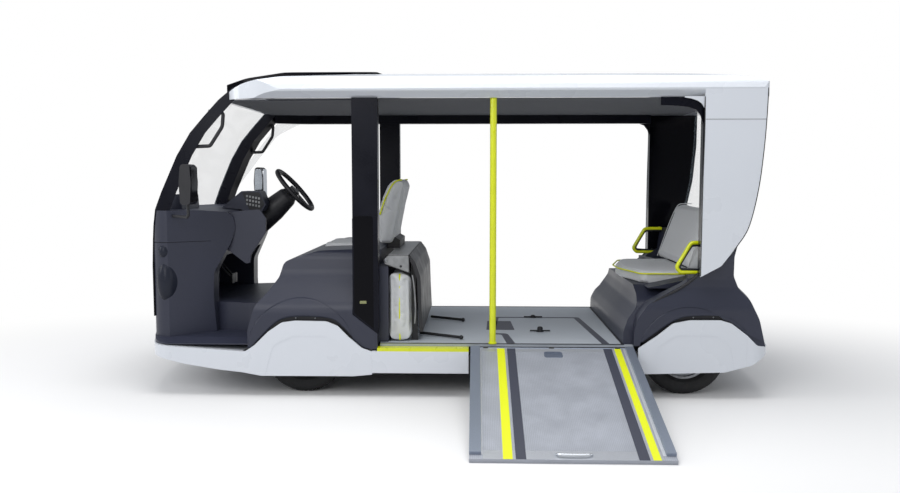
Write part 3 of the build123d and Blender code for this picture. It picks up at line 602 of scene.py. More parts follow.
def cord_line(name, points, radius, made_by, body="vehicle", closed=False, radii=None, smooth=6):
    """Round trim along a smooth line, of one radius or with a radius for each point."""
    curve = bpy.data.curves.new(name, "CURVE")
    curve.dimensions = "3D"
    curve.bevel_depth = radius
    curve.bevel_resolution = 3
    curve.use_fill_caps = True
    spline = curve.splines.new("NURBS")
    spline.points.add(len(points) - 1)
    for k, (spot, at) in enumerate(zip(spline.points, points)):
        spot.co = (*at, 1)
        if radii:
            spot.radius = radii[k]
    spline.order_u = 3
    spline.use_endpoint_u = not closed
    spline.use_cyclic_u = closed
    spline.resolution_u = smooth
    return piece(name, curve, made_by, body)


def lathe(name, profile, centre, axis, made_by, body="vehicle", steps=48):
    """Turned piece: profile of (radius, distance along the axis)."""
    bm = bmesh.new()
    turn = Vector((0, 0, 1)).rotation_difference(Vector(axis)).to_matrix()
    rings = []
    for radius, along in profile:
        if radius < 1e-6:
            rings.append([bm.verts.new(Vector(centre) + turn @ Vector((0, 0, along)))])
            continue
        rings.append([bm.verts.new(Vector(centre) + turn @ Vector((
            radius * math.cos(math.tau * k / steps), radius * math.sin(math.tau * k / steps), along)))
            for k in range(steps)])
    for first, second in zip(rings, rings[1:]):
        for k in range(steps):
            j = (k + 1) % steps
            corner = [first[k % len(first)], first[j % len(first)],
                      second[j % len(second)], second[k % len(second)]]
            corner = list(dict.fromkeys(corner))
            if len(corner) > 2:
                bm.faces.new(corner)
    return piece(name, mesh_of(bm, name), made_by, body)


# Padded seats
SWELL_FRAMES = 20
SWELL_PRESSURE = 4.0


def puffed(name, bm, replaced, limit, voxel=0.006):
    """Closed form swollen by a short cloth simulation, each point moved at most limit."""
    made = piece(name, mesh_of(bm, name), seat_vinyl)
    bpy.context.view_layer.objects.active = made
    made.data.remesh_voxel_size = voxel
    with bpy.context.temp_override(object=made, active_object=made, selected_objects=[made]):
        bpy.ops.object.voxel_remesh()
    rest = [v.co.copy() for v in made.data.vertices]
    cloth = made.modifiers.new("Swell", "CLOTH")
    cloth.settings.use_pressure = True
    cloth.settings.uniform_pressure_force = SWELL_PRESSURE
    cloth.settings.effector_weights.gravity = 0.0
    cloth.settings.tension_stiffness = 12
    cloth.settings.quality = 4
    cloth.point_cache.frame_end = SWELL_FRAMES
    for step in range(1, SWELL_FRAMES + 1):
        bpy.context.scene.frame_set(step)
    graph = bpy.context.evaluated_depsgraph_get()
    swollen = [v.co.copy() for v in made.evaluated_get(graph).data.vertices]
    made.modifiers.remove(cloth)
    bpy.context.scene.frame_set(1)
    for vertex, was, now in zip(made.data.vertices, rest, swollen):
        move = now - was
        if move.length > limit:
            move = move.normalized() * limit
        vertex.co = was + move
    relax = made.modifiers.new("Relax", "CORRECTIVE_SMOOTH")
    relax.iterations = 6
    relax.smooth_type = "LENGTH_WEIGHTED"
    relax.use_only_smooth = True
    made.data.shade_smooth()
    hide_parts(*replaced)
    return made


def pull_in(made, test, depth):
    """Draws the surface in along a seam: test gives 0 to 1 at a point."""
    normals = [v.normal.copy() for v in made.data.vertices]
    for vertex, normal in zip(made.data.vertices, normals):
        amount = test(vertex.co)
        if amount > 0:
            vertex.co -= normal * depth * amount


def near(value, centre, width):
    """1 at centre, falling to 0 at width away."""
    return max(0.0, 1.0 - abs(value - centre) / width) ** 2


class MOVER_OT_stage(bpy.types.Operator):
    """Camera, floor, world and lamps of the studio."""

    bl_idname = "mover.stage"
    bl_label = "Studio"

    def execute(self, context):
        self.camera(context)
        self.floor(context)
        self.world(context)
        self.lamps(context)
        context.scene.view_settings.view_transform = "Standard"
        return {"FINISHED"}

    def camera(self, context):
        ahead = Vector((
            math.sin(VIEW_YAW) * math.cos(VIEW_PITCH), math.cos(VIEW_YAW) * math.cos(VIEW_PITCH),
            -math.sin(VIEW_PITCH)))
        right = Vector((math.cos(VIEW_YAW), -math.sin(VIEW_YAW), 0))
        up = right.cross(ahead)
        data = bpy.data.cameras.new("Camera")
        data.lens = VIEW_LENS
        data.sensor_width = 36
        made = bpy.data.objects.new("Camera", data)
        context.scene.collection.objects.link(made)
        place = Matrix((right, up, -ahead)).transposed().to_4x4()
        place.translation = Vector(VIEW_FROM) + Vector((0, MIDDLE, 0))
        made.matrix_world = place
        context.scene.camera = made

    def floor(self, context):
        bpy.ops.mesh.primitive_plane_add(size=60, location=(0, 0, -0.0005))
        made = context.active_object
        made.name = "studio_floor"
        f = Finish("studio_floor", Roughness=0.85)
        bounced = f.node("ShaderNodeLightPath", out="Is Diffuse Ray")
        f.set(Base_Color=f.blend(bounced, (0.93, 0.92, 0.91), (0.42, 0.42, 0.43)))
        x, y, z = f.axes()
        away = f.node("ShaderNodeMath", {"operation": "SQRT"}, {0: x * x * 0.45 + y * y * 0.9})
        seen = f.node("ShaderNodeLightPath", out="Is Camera Ray")
        glossy = f.node("ShaderNodeLightPath", out="Is Glossy Ray")
        through = f.node("ShaderNodeLightPath", out="Is Transmission Ray")
        shown = f.node("ShaderNodeMath", {"operation": "MAXIMUM"}, {0: seen, 1: glossy})
        shown = f.node("ShaderNodeMath", {"operation": "MAXIMUM"}, {0: shown, 1: through})
        glow = f.node("ShaderNodeEmission", {}, {"Color": (1, 1, 1, 1), "Strength": 1.0})
        mixed = f.node("ShaderNodeMixShader", {}, {
            0: shown * away.ramp(1.6, 3.6), 1: Shade(f, f.shader.outputs[0]), 2: glow})
        f.feed(f.tree.nodes["Material Output"].inputs["Surface"], mixed)
        made.data.materials.append(f.material)

    def world(self, context):
        world = bpy.data.worlds.new("Studio")
        context.scene.world = world
        world.use_nodes = True
        nodes, links = world.node_tree.nodes, world.node_tree.links
        plain = nodes["Background"]
        plain.inputs[0].default_value = (0.90, 0.94, 1.0, 1)
        plain.inputs[1].default_value = 0.5
        white = nodes.new("ShaderNodeBackground")
        white.inputs[0].default_value = (1, 1, 1, 1)
        white.inputs[1].default_value = 1.0
        path = nodes.new("ShaderNodeLightPath")
        either = nodes.new("ShaderNodeMath")
        either.operation = "MAXIMUM"
        links.new(path.outputs["Is Camera Ray"], either.inputs[0])
        links.new(path.outputs["Is Transmission Ray"], either.inputs[1])
        mixed = nodes.new("ShaderNodeMixShader")
        links.new(either.outputs[0], mixed.inputs[0])
        links.new(plain.outputs[0], mixed.inputs[1])
        links.new(white.outputs[0], mixed.inputs[2])
        links.new(mixed.outputs[0], nodes["World Output"].inputs[0])

    def lamps(self, context):
        rows = [
            # name, place, target, size, watts
            ("overhead", (0.0, -0.6, 5.2), (0, 0.3, 0), 5.0, 190),
            ("near_side", (-2.2, -6.0, 3.6), (0, 0, 0.8), 3.6, 110),
            ("front", (-6.0, -1.5, 3.0), (0, 0, 0.8), 2.6, 60),
            ("rear", (6.0, -2.5, 2.6), (0, 0, 0.9), 2.6, 22),
        ]
        for name, place, target, size, watts in rows:
            data = bpy.data.lights.new(name, "AREA")
            data.shape = "DISK"
            data.size = size
            data.energy = watts
            made = bpy.data.objects.new(name, data)
            made.location = Vector(place) + Vector((0, MIDDLE, 0))
            aim = Vector(target) + Vector((0, MIDDLE, 0)) - made.location
            made.rotation_euler = aim.to_track_quat("-Z", "Y").to_euler()
            context.scene.collection.objects.link(made)


class MOVER_OT_finishes(bpy.types.Operator):
    """Finishes of the CAD nodes."""

    bl_idname = "mover.finishes"
    bl_label = "Finishes"

    def execute(self, context):
        for made_by, slot, nodes in NODE_FINISHES:
            for name in nodes:
                for spot in NODES[name].material_slots:
                    spot.material = finish(made_by)
        return {"FINISHED"}


class MOVER_OT_rear_bench(bpy.types.Operator):
    """Rear cushion and back, with their piping."""

    bl_idname = "mover.rear_bench"
    bl_label = "Rear bench"

    def execute(self, context):
        puff = sizes().puff
        self.cushion(puff)
        self.back(puff)
        return {"FINISHED"}

    def plan(self, inset):
        x0, x1, y0, y1, z0, z1 = span("rear_cushion")
        half = (y1 - y0) / 2 - inset
        front = [(x0 + inset, -0.10, 0.10), (x0 + 0.093 + inset * 0.6, -half, 0.06)]
        rear = [(x1 - 0.03, -half, 0.02), (x1 - 0.03, half, 0.02)]
        other = [(a, -b, r) for a, b, r in reversed(front)]
        return centred(rounded(front + rear + other, 6))

    def cushion(self, puff):
        x0, x1, y0, y1, z0, z1 = span("rear_cushion")
        bm = prism_mesh(self.plan(puff * 0.75), "xy", z0 + 0.003, z1 - puff * 0.55)
        edges = [e for e in bm.edges if abs(e.verts[0].co.z - e.verts[1].co.z) < 1e-5]
        bmesh.ops.bevel(bm, geom=edges, offset=0.010, segments=3, affect="EDGES")
        made = puffed("rear_cushion_pad", bm, ["rear_cushion"], puff * 0.8)
        for vertex in made.data.vertices:
            vertex.co.z = max(vertex.co.z, z0 + 0.0005)
        seam_z = z1 - 0.012
        line = [(p.x, p.y, seam_z) for p in self.plan(0.004)]
        cord_line("rear_cushion_piping", line, sizes().piping, piping, closed=True)

    def back(self, puff):
        x0, x1, y0, y1, z0, z1 = span("rear_back")
        inset = puff * 0.6
        side = [
            (1.492, 0.735, 0), (1.484, 0.752, 0.01), (1.615, 1.110, 0.03), (1.645, 1.124, 0.03),
            (1.718, 1.120, 0.02), (1.645, 0.945, 0), (1.600, 0.735, 0)]
        bm = prism_mesh(rounded(side), "xz", y0 + inset, y1 - inset)
        made = puffed("rear_back_pad", bm, ["rear_back"], puff)
        lean = (1.612 - 1.475) / (1.125 - 0.740)
        for y in (y0 + 0.045, y1 - 0.045):
            pull_in(made, lambda co: near(co.y, y, 0.016) * (co.x < 1.53 + lean * (co.z - 0.74)), 0.006)
        for y, tag in ((y0 + 0.006, "near"), (y1 - 0.006, "far")):
            line = [
                (1.478, y, 0.745), (1.522, y, 0.880), (1.575, y, 1.030), (1.612, y, 1.112),
                (1.642, y, 1.132), (1.720, y, 1.128)]
            # the side seams take the darker vinyl copy: painted shade
            cord_line("rear_back_seam_" + tag, line, 0.003, seat_side_shade)


class MOVER_OT_driver_seat(bpy.types.Operator):
    """Driver's cushion and back, with their piping."""

    bl_idname = "mover.driver_seat"
    bl_label = "Driver's seat"

    def execute(self, context):
        puff = sizes().puff
        self.cushion(puff)
        self.back(puff)
        return {"FINISHED"}

    def cushion(self, puff):
        x0, x1, y0, y1, z0, z1 = span("driver_cushion")
        plan = [(x0 + 0.008, y0 + 0.01, 0.05), (x1 - 0.01, y0 + 0.008, 0.03),
                (x1 - 0.01, y1 - 0.008, 0.03), (x0 + 0.008, y1 - 0.01, 0.05)]
        bm = prism_mesh(rounded(plan), "xy", z0 + 0.004, z1 - 0.014)
        puffed("driver_cushion_pad", bm, ["driver_cushion"], puff * 0.7, voxel=0.005)

    def back(self, puff):
        x0, x1, y0, y1, z0, z1 = span("driver_back")
        side = [
            (-0.493, 0.880, 0), (-0.500, 1.064, 0.1), (-0.470, 1.180, 0.1), (-0.426, 1.275, 0.05),
            (-0.388, 1.312, 0.03), (-0.345, 1.312, 0.02), (-0.330, 1.290, 0.02),
            (-0.364, 1.149, 0.1), (-0.412, 0.911, 0.03), (-0.420, 0.880, 0)]
        bm = prism_mesh(rounded(side), "xz", y0 + 0.012, y1 - 0.012)
        upright = [e for e in bm.edges if abs(e.verts[0].co.y - e.verts[1].co.y) < 1e-5]
        bmesh.ops.bevel(bm, geom=upright, offset=0.012, segments=3, affect="EDGES")
        made = puffed("driver_back_pad", bm, ["driver_back"], puff * 0.8)
        pull_in(made, lambda co: near(co.z, 1.175, 0.014) * (co.x < -0.40), 0.005)
        for y, tag in ((y0 + 0.010, "near"), (y1 - 0.010, "far")):
            line = [
                (-0.493, y, 1.075), (-0.480, y, 1.120), (-0.466, y, 1.160), (-0.446, y, 1.205),
                (-0.418, y, 1.262), (-0.385, y, 1.302), (-0.345, y, 1.305)]
            cord_line("driver_back_piping_" + tag, line, sizes().piping, piping)


class MOVER_OT_folding_bench(bpy.types.Operator):
    """Stowed bench: its pad and piping."""

    bl_idname = "mover.folding_bench"
    bl_label = "Folding bench"

    def execute(self, context):
        x0, x1, y0, y1, z0, z1 = span("bench_cushion")
        puff = sizes().puff
        side = [
            (x0 + 0.004, z0 + 0.006, 0.03), (x0 + 0.006, z1 - 0.020, 0.02),
            (x1 - 0.008, z1 - 0.030, 0.02), (x1 - 0.004, z0 + 0.006, 0.03)]
        bm = prism_mesh(rounded(side), "xz", y0 + 0.006, y1 - 0.006)
        puffed("bench_pad", bm, ["bench_cushion"], puff * 0.75)
        middle = (x0 + x1) / 2
        for y, side_name in ((y0 + 0.004, "near"), (y1 - 0.004, "far")):
            line = [(middle, y, z0 + 0.012), (middle - 0.004, y, z0 + 0.18), (middle, y, z1 - 0.03)]
            cord_line("bench_piping_" + side_name, line, sizes().piping, piping)
        return {"FINISHED"}


class MOVER_OT_wheels(bpy.types.Operator):
    """Tyres with tread, wheel nuts and centre caps."""

    bl_idname = "mover.wheels"
    bl_label = "Wheels"

    def execute(self, context):
        for corner in ("front_left", "front_right", "rear_left", "rear_right"):
            self.tyre(corner)
            self.nuts(corner)
        return {"FINISHED"}

    def tyre(self, corner):
        node = "tyre_" + corner
        x0, x1, y0, y1, z0, z1 = span(node)
        centre = Vector(((x0 + x1) / 2, (y0 + y1) / 2, (z0 + z1) / 2))
        radius, half = (z1 - z0) / 2, (y1 - y0) / 2
        rim = radius - 0.094
        profile = [
            (rim, 0.054), (rim + 0.006, 0.058), (rim + 0.014, 0.066), (rim + 0.020, 0.069),
            (rim + 0.024, 0.067), (rim + 0.050, half - 0.0005), (rim + 0.066, half - 0.002),
            (radius - 0.014, 0.066), (radius - 0.006, 0.058), (radius - 0.0015, 0.048),
            (radius, 0.036), (radius, 0.033), (radius - 0.007, 0.031), (radius - 0.007, 0.026),
            (radius, 0.024), (radius, 0.005), (radius - 0.007, 0.003), (radius - 0.007, 0.0)]
        rows = profile + [(r, -y) for r, y in reversed(profile[:-1])]
        blocks, steps = 60, 5
        bm = bmesh.new()
        rings = []
        for k in range(blocks * steps):
            angle = math.tau * k / (blocks * steps)
            ring = []
            for r, y in rows:
                shift = 0.5 if y < 0 else 0.0
                inside = (k / steps + shift) % 1.0
                if inside < 0.19 and abs(y) > 0.022 and r > radius - 0.02:
                    r = min(r, radius - 0.006)
                ring.append(bm.verts.new(centre + Vector((r * math.cos(angle), y, r * math.sin(angle)))))
            rings.append(ring)
        for k, ring in enumerate(rings):
            after = rings[(k + 1) % len(rings)]
            for j in range(len(rows) - 1):
                bm.faces.new((ring[j], ring[j + 1], after[j + 1], after[j]))
            bm.faces.new((ring[-1], ring[0], after[0], after[-1]))
        body = "wheel_" + corner
        made = piece("tread_" + corner, mesh_of(bm, node), tyre_rubber, body)
        made.data.set_sharp_from_angle(angle=0.7)
        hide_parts(node)

    def nuts(self, corner):
        x0, x1, y0, y1, z0, z1 = span("rim_" + corner)
        centre = Vector(((x0 + x1) / 2, 0, (z0 + z1) / 2))
        side = 1 if corner.endswith("right") else -1
        face = ((y0 + y1) / 2) + side * 0.008
        body = "wheel_" + corner
        cap = [(0.0, 0.022), (0.012, 0.021), (0.024, 0.017), (0.031, 0.009), (0.033, -0.002)]
        lathe("hub_cap_" + corner, cap, (centre.x, face, centre.z), (0, side, 0), satin_black, body, 32)
        lug = sizes().lug
        for k in range(5):
            angle = math.tau * (k + 0.5) / 5
            at = (centre.x + 0.044 * math.cos(angle), face, centre.z + 0.044 * math.sin(angle))
            nut = [(0.0, 0.013), (lug * 0.8, 0.013), (lug, 0.010), (lug, 0.0)]
            lathe("wheel_nut_%s_%d" % (corner, k + 1), nut, at, (0, side, 0), wheel_steel, body, 6)


def on_ramp(x, out, up):
    """A place on the ramp: out from the hinge along the plate, and up from the hinge's plane."""
    cos, sin = math.cos(RAMP_TILT), math.sin(RAMP_TILT)
    return Vector((x, HINGE.y - out * cos - up * sin, HINGE.z - out * sin + up * cos))


def ramp_box(name, x0, x1, out0, out1, up0, up1, made_by, edge=0.0006):
    bm = bmesh.new()
    bmesh.ops.create_cube(bm, size=1)
    for vertex in bm.verts:
        x = x0 if vertex.co.x < 0 else x1
        out = out0 if vertex.co.y < 0 else out1
        up = up0 if vertex.co.z < 0 else up1
        vertex.co = on_ramp(x, out, up)
    return soften(piece(name, mesh_of(bm, name), made_by, "ramp"), edge)


class MOVER_OT_ramp(bpy.types.Operator):
    """Stripes, end lip, handle and grip pocket of the ramp."""

    bl_idname = "mover.ramp"
    bl_label = "Ramp"

    def execute(self, context):
        top = RAMP_PLATE_TOP
        reach = RAMP_LENGTH - 0.001
        rows = [
            # name, first x, last x, first and last place out from the hinge, finish
            ("yellow_near", 0.268, 0.313, 0.016, reach, stripe_yellow),
            ("navy_near", 0.327, 0.376, 0.016, reach, stripe_navy),
            ("navy_far", 0.897, 0.948, 0.016, reach, stripe_navy),
            ("yellow_far", 0.962, 1.000, 0.016, reach, stripe_yellow),
            ("edge_far", 1.013, 1.0285, 0.016, RAMP_LENGTH - 0.040, light_edge),
            ("edge_near", 0.1665, 0.173, 0.016, RAMP_LENGTH - 0.040, light_edge),
        ]
        for name, first, last, out0, out1, made_by in rows:
            ramp_box("ramp_" + name, first, last, out0, out1, top, top + 0.0009, made_by, 0.0003)
        for name, first, last in (("lip", 1.127, reach), ("head", 0.016, 0.060)):
            ramp_box("ramp_" + name, 0.174, 1.012, first, last, top, top + 0.0005, ramp_band, 0.0002)
        self.handle(0.600, top)
        self.pocket(0.596, 0.096, top)
        return {"FINISHED"}

    def pocket(self, middle, out, top):
        """Recessed grip in the plate: a rounded dish with a dark floor."""
        corners = [(middle - 0.054, out - 0.040, 0.02), (middle + 0.054, out - 0.040, 0.02),
                   (middle + 0.054, out + 0.040, 0.02), (middle - 0.054, out + 0.040, 0.02)]
        bm = bmesh.new()
        rims = []
        for inset, up in ((0.0, 0.0), (0.002, 0.0016), (0.006, 0.0016), (0.010, 0.0004)):
            ring = []
            for p in rounded([(a - math.copysign(inset, a - middle), b - math.copysign(inset, b - out), r)
                              for a, b, r in corners], 4):
                ring.append(bm.verts.new(on_ramp(p.x, p.y, top + up)))
            rims.append(ring)
        for first, second in zip(rims, rims[1:]):
            for k in range(len(first)):
                j = (k + 1) % len(first)
                bm.faces.new((first[k], first[j], second[j], second[k]))
        bm.faces.new(rims[-1])
        piece("ramp_pocket", mesh_of(bm, "ramp_pocket"), pocket_blue, "ramp")

    def handle(self, middle, top):
        line = []
        for x, out, up in (
                (middle - 0.085, RAMP_LENGTH - 0.040, top + 0.001),
                (middle - 0.083, RAMP_LENGTH - 0.036, top + 0.010),
                (middle - 0.070, RAMP_LENGTH - 0.022, top + 0.013),
                (middle + 0.070, RAMP_LENGTH - 0.022, top + 0.013),
                (middle + 0.083, RAMP_LENGTH - 0.036, top + 0.010),
                (middle + 0.085, RAMP_LENGTH - 0.040, top + 0.001)):
            line.append(tuple(on_ramp(x, out, up)))
        cord_line("ramp_handle", line, 0.005, mirror_silver, "ramp")


class MOVER_OT_deck(bpy.types.Operator):
    """Dark band, blank sign plate and strap fittings on the cabin floor."""

    bl_idname = "mover.deck"
    bl_label = "Cabin floor"

    def execute(self, context):
        lift = 0.0012
        z = FLOOR_Z
        sign = [(0.222, 0.070), (0.385, 0.070), (0.398, -0.268), (0.212, -0.268)]
        plate("deck_sign", centred(sign), "xy", z, z + lift, stripe_navy)
        self.band(z, lift)
        for name, x, y, tall in (("far", 0.553, 0.232, 0.020), ("near", 0.561, -0.320, 0.034)):
            knob = [(0.0, tall), (0.010, tall - 0.001), (0.017, tall - 0.007), (0.019, tall * 0.5),
                    (0.015, 0.004), (0.024, 0.002), (0.026, 0.0)]
            lathe("strap_knob_" + name, knob, (x, y + MIDDLE, z), (0, 0, 1), satin_black, steps=32)
            bar = rectangle(x, y + MIDDLE, 0.066, 0.006, 0.004)
            plate("strap_bar_" + name, rounded(bar, 3), "xy", z + 0.003, z + 0.010, satin_black)
        edges = [
            # name, first x, last x, first y, last y
            ("far", -0.390, 1.035, 0.728, 0.742), ("near", -0.440, 1.035, -0.7445, -0.730),
            ("rear", 1.020, 1.034, -0.735, 0.735),
        ]
        for name, first, last, low, high in edges:
            rows = [(first, low), (last, low), (last, high), (first, high)]
            plate("deck_edge_" + name, centred(rows), "xy", z, z + 0.0024, satin_black, edge=0.0008)
        return {"FINISHED"}

    def band(self, z, lift):
        """Closed dark line round the wheelchair place."""
        outer = [(0.281, 0.246, 0.03), (0.880, 0.246, 0.03), (0.950, -0.735, 0.02), (0.905, -0.735, 0.02),
                 (0.842, 0.214, 0.02), (0.306, 0.214, 0.02), (0.264, -0.395, 0.03), (0.345, -0.395, 0.05),
                 (0.382, -0.735, 0.02), (0.330, -0.735, 0.02), (0.306, -0.430, 0.03), (0.226, -0.430, 0.03)]
        plate("deck_band", centred(rounded(outer, 4)), "xy", z, z + lift, stripe_navy, edge=0.0004)


# Outer section of the lower body: half width at a height
BODY_SECTION = [(0.30, 0.790), (0.505, 0.790), (0.545, 0.783), (0.575, 0.766), (0.60, 0.748), (0.66, 0.70)]
TAIL_SECTION = [(0.30, 0.790), (0.51, 0.790), (0.55, 0.785), (0.60, 0.772), (0.66, 0.757), (0.72, 0.753),
                (0.80, 0.777), (0.90, 0.789)]


def along_rows(rows, key):
    """Value at a key, straight between the rows."""
    for (a0, b0), (a1, b1) in zip(rows, rows[1:]):
        if key <= a1:
            return b0 + (b1 - b0) * max(0.0, key - a0) / (a1 - a0)
    return rows[-1][1]


def resampled(points, count):
    """Points at even steps along a smoothed line."""
    line = []
    for k in range(len(points) - 1):
        before = points[max(0, k - 1)]
        first, second = points[k], points[k + 1]
        after = points[min(len(points) - 1, k + 2)]
        for step in range(8):
            t = step / 8
            line.append(tuple(0.5 * (
                2 * q + (r - p) * t + (2 * p - 5 * q + 4 * r - a) * t * t + (3 * q - p - 3 * r + a) * t ** 3)
                for p, q, r, a in zip(before, first, second, after)))
    line.append(points[-1])
    reach = [0.0]
    for first, second in zip(line, line[1:]):
        reach.append(reach[-1] + (Vector(second) - Vector(first)).length)
    out = []
    for k in range(count):
        want = reach[-1] * k / (count - 1)
        j = max(1, next((n for n, r in enumerate(reach) if r >= want - 1e-9), len(reach) - 1))
        t = (want - reach[j - 1]) / max(1e-9, reach[j] - reach[j - 1])
        out.append(Vector(line[j - 1]).lerp(Vector(line[j]), min(1.0, t)))
    return out


# Edge of the fender above each cover, as (x, z)
FENDER_EDGES = {
    "front": [(-1.222, 0.292), (-1.137, 0.380), (-1.066, 0.447), (-1.010, 0.474), (-0.938, 0.485),
              (-0.834, 0.485), (-0.742, 0.475), (-0.690, 0.453), (-0.616, 0.378), (-0.560, 0.318)],
    "rear": [(1.130, 0.338), (1.189, 0.381), (1.279, 0.444), (1.350, 0.484), (1.413, 0.497),
             (1.548, 0.502), (1.629, 0.492), (1.684, 0.465), (1.740, 0.412)],
}
POCKETS = {
    # x, z and radius of the wheel pocket in the body, and the body's section
    "front": (-0.914, 0.270, 0.327, BODY_SECTION),
    "rear": (1.412, 0.254, 0.302, TAIL_SECTION),
}


SKIN = 0.010
LIP_IN = 0.0015
LINER_OUT = 0.7755
LINER_IN = 0.7715
FENDER_STEPS = 72
LINER_STEPS = 60
RISE_STEPS = 8
LINER_STUDS = {"front": ((-0.946, 0.474), (-0.828, 0.474)), "rear": ((1.436, 0.488), (1.554, 0.490))}


class MOVER_OT_arches(bpy.types.Operator):
    """Fender edges that close the wheel pockets down to the covers, and the dark liners behind them."""

    bl_idname = "mover.arches"
    bl_label = "Arches"

    def execute(self, context):
        for end in FENDER_EDGES:
            for side in (-1, 1):
                self.fender(end, side)
                self.liner(end, side)
        return {"FINISHED"}

    def fender(self, end, side):
        cx, cz, radius, section = POCKETS[end]
        low = resampled(FENDER_EDGES[end], FENDER_STEPS)
        bm = bmesh.new()
        layers = []
        for inward in (0.0, SKIN):
            grid = []
            for p in low:
                ray = Vector((p.x - cx, p.y - cz))
                top = Vector((cx, cz)) + ray.normalized() * max(radius, ray.length + 0.004)
                column = []
                for step in range(RISE_STEPS + 1):
                    q = p.lerp(top, step / RISE_STEPS)
                    half = along_rows(section, q.y) - inward - (LIP_IN if step == 0 else 0.0)
                    column.append(bm.verts.new((q.x, side * half + MIDDLE, q.y)))
                grid.append(column)
            layers.append(grid)
        outer, inner = layers
        for k in range(len(low) - 1):
            for j in range(RISE_STEPS):
                bm.faces.new((outer[k][j], outer[k + 1][j], outer[k + 1][j + 1], outer[k][j + 1]))
                bm.faces.new((inner[k][j], inner[k][j + 1], inner[k + 1][j + 1], inner[k + 1][j]))
            bm.faces.new((outer[k][0], inner[k][0], inner[k + 1][0], outer[k + 1][0]))
            bm.faces.new((outer[k][-1], outer[k + 1][-1], inner[k + 1][-1], inner[k][-1]))
        for k in (0, len(low) - 1):
            for j in range(RISE_STEPS):
                bm.faces.new((outer[k][j], outer[k][j + 1], inner[k][j + 1], inner[k][j]))
        piece("fender_edge_%s_%d" % (end, side), mesh_of(bm, "fender_edge"), moulded_trim)

    def liner(self, end, side):
        line = resampled(FENDER_EDGES[end], LINER_STEPS)
        cx, cz = POCKETS[end][:2]
        centre = Vector((cx, cz))
        upper = [p + (p - centre).normalized() * 0.020 for p in line]
        lower = [p - (p - centre).normalized() * 0.050 for p in reversed(line)]
        low, high = sorted((side * LINER_OUT, side * LINER_IN))
        plate("arch_liner_%s_%d" % (end, side), upper + lower, "xz", low + MIDDLE, high + MIDDLE,
              satin_black, edge=0.0004)
        stud = [(0.0, 0.003), (0.004, 0.002), (0.005, 0.0)]
        for x, z in LINER_STUDS[end]:
            lathe("liner_stud_%s_%d_%d" % (end, side, round(x * 1000)), stud,
                  (x, side * LINER_OUT + MIDDLE, z), (0, side, 0), wheel_steel, steps=12)


LAMP_X = -1.777
LAMP_Y = 0.684
LAMP_TURN_X = -0.50
LAMP_TURN_Y = 0.866
DOME = [
    (0.0, 0.036), (0.34, 0.034), (0.64, 0.026), (0.86, 0.012), (0.965, -0.004), (1.0, -0.022), (1.0, -0.080)]
LAMP_ROWS = [
    # size, height, radius, how narrow, profile of (share of the radius, distance out)
    ("low", 0.680, 0.130, 0.46, DOME),
    ("high", 0.868, 0.047, 0.80, [(r, h * 0.75 - (0.0 if h > -0.03 else 0.02)) for r, h in DOME]),
]


class MOVER_OT_lamps(bpy.types.Operator):
    """Upright oval lamps on the front corners."""

    bl_idname = "mover.lamps"
    bl_label = "Lamps"

    def execute(self, context):
        for side in (-1, 1):
            for size, z, radius, narrow, dome in LAMP_ROWS:
                self.lamp(side, size, z, radius, narrow, dome)
        return {"FINISHED"}

    def lamp(self, side, size, z, radius, narrow, dome):
        middle = Vector((LAMP_X, side * LAMP_Y + MIDDLE, z))
        made = lathe("lamp_%s_%s" % (size, SIDES[side]), [(r * radius, h) for r, h in dome], middle,
                     (LAMP_TURN_X, side * LAMP_TURN_Y, 0), smoked_lens, steps=56)
        # an upright oval: narrower across than it is high
        across = Vector((LAMP_TURN_Y, side * -LAMP_TURN_X, 0))
        for vertex in made.data.vertices:
            reach = (vertex.co - middle).dot(across)
            vertex.co -= across * reach * (1 - narrow)
        made.data.set_sharp_from_angle(angle=0.9)
        if size == "low" and side < 0:
            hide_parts("headlamps")


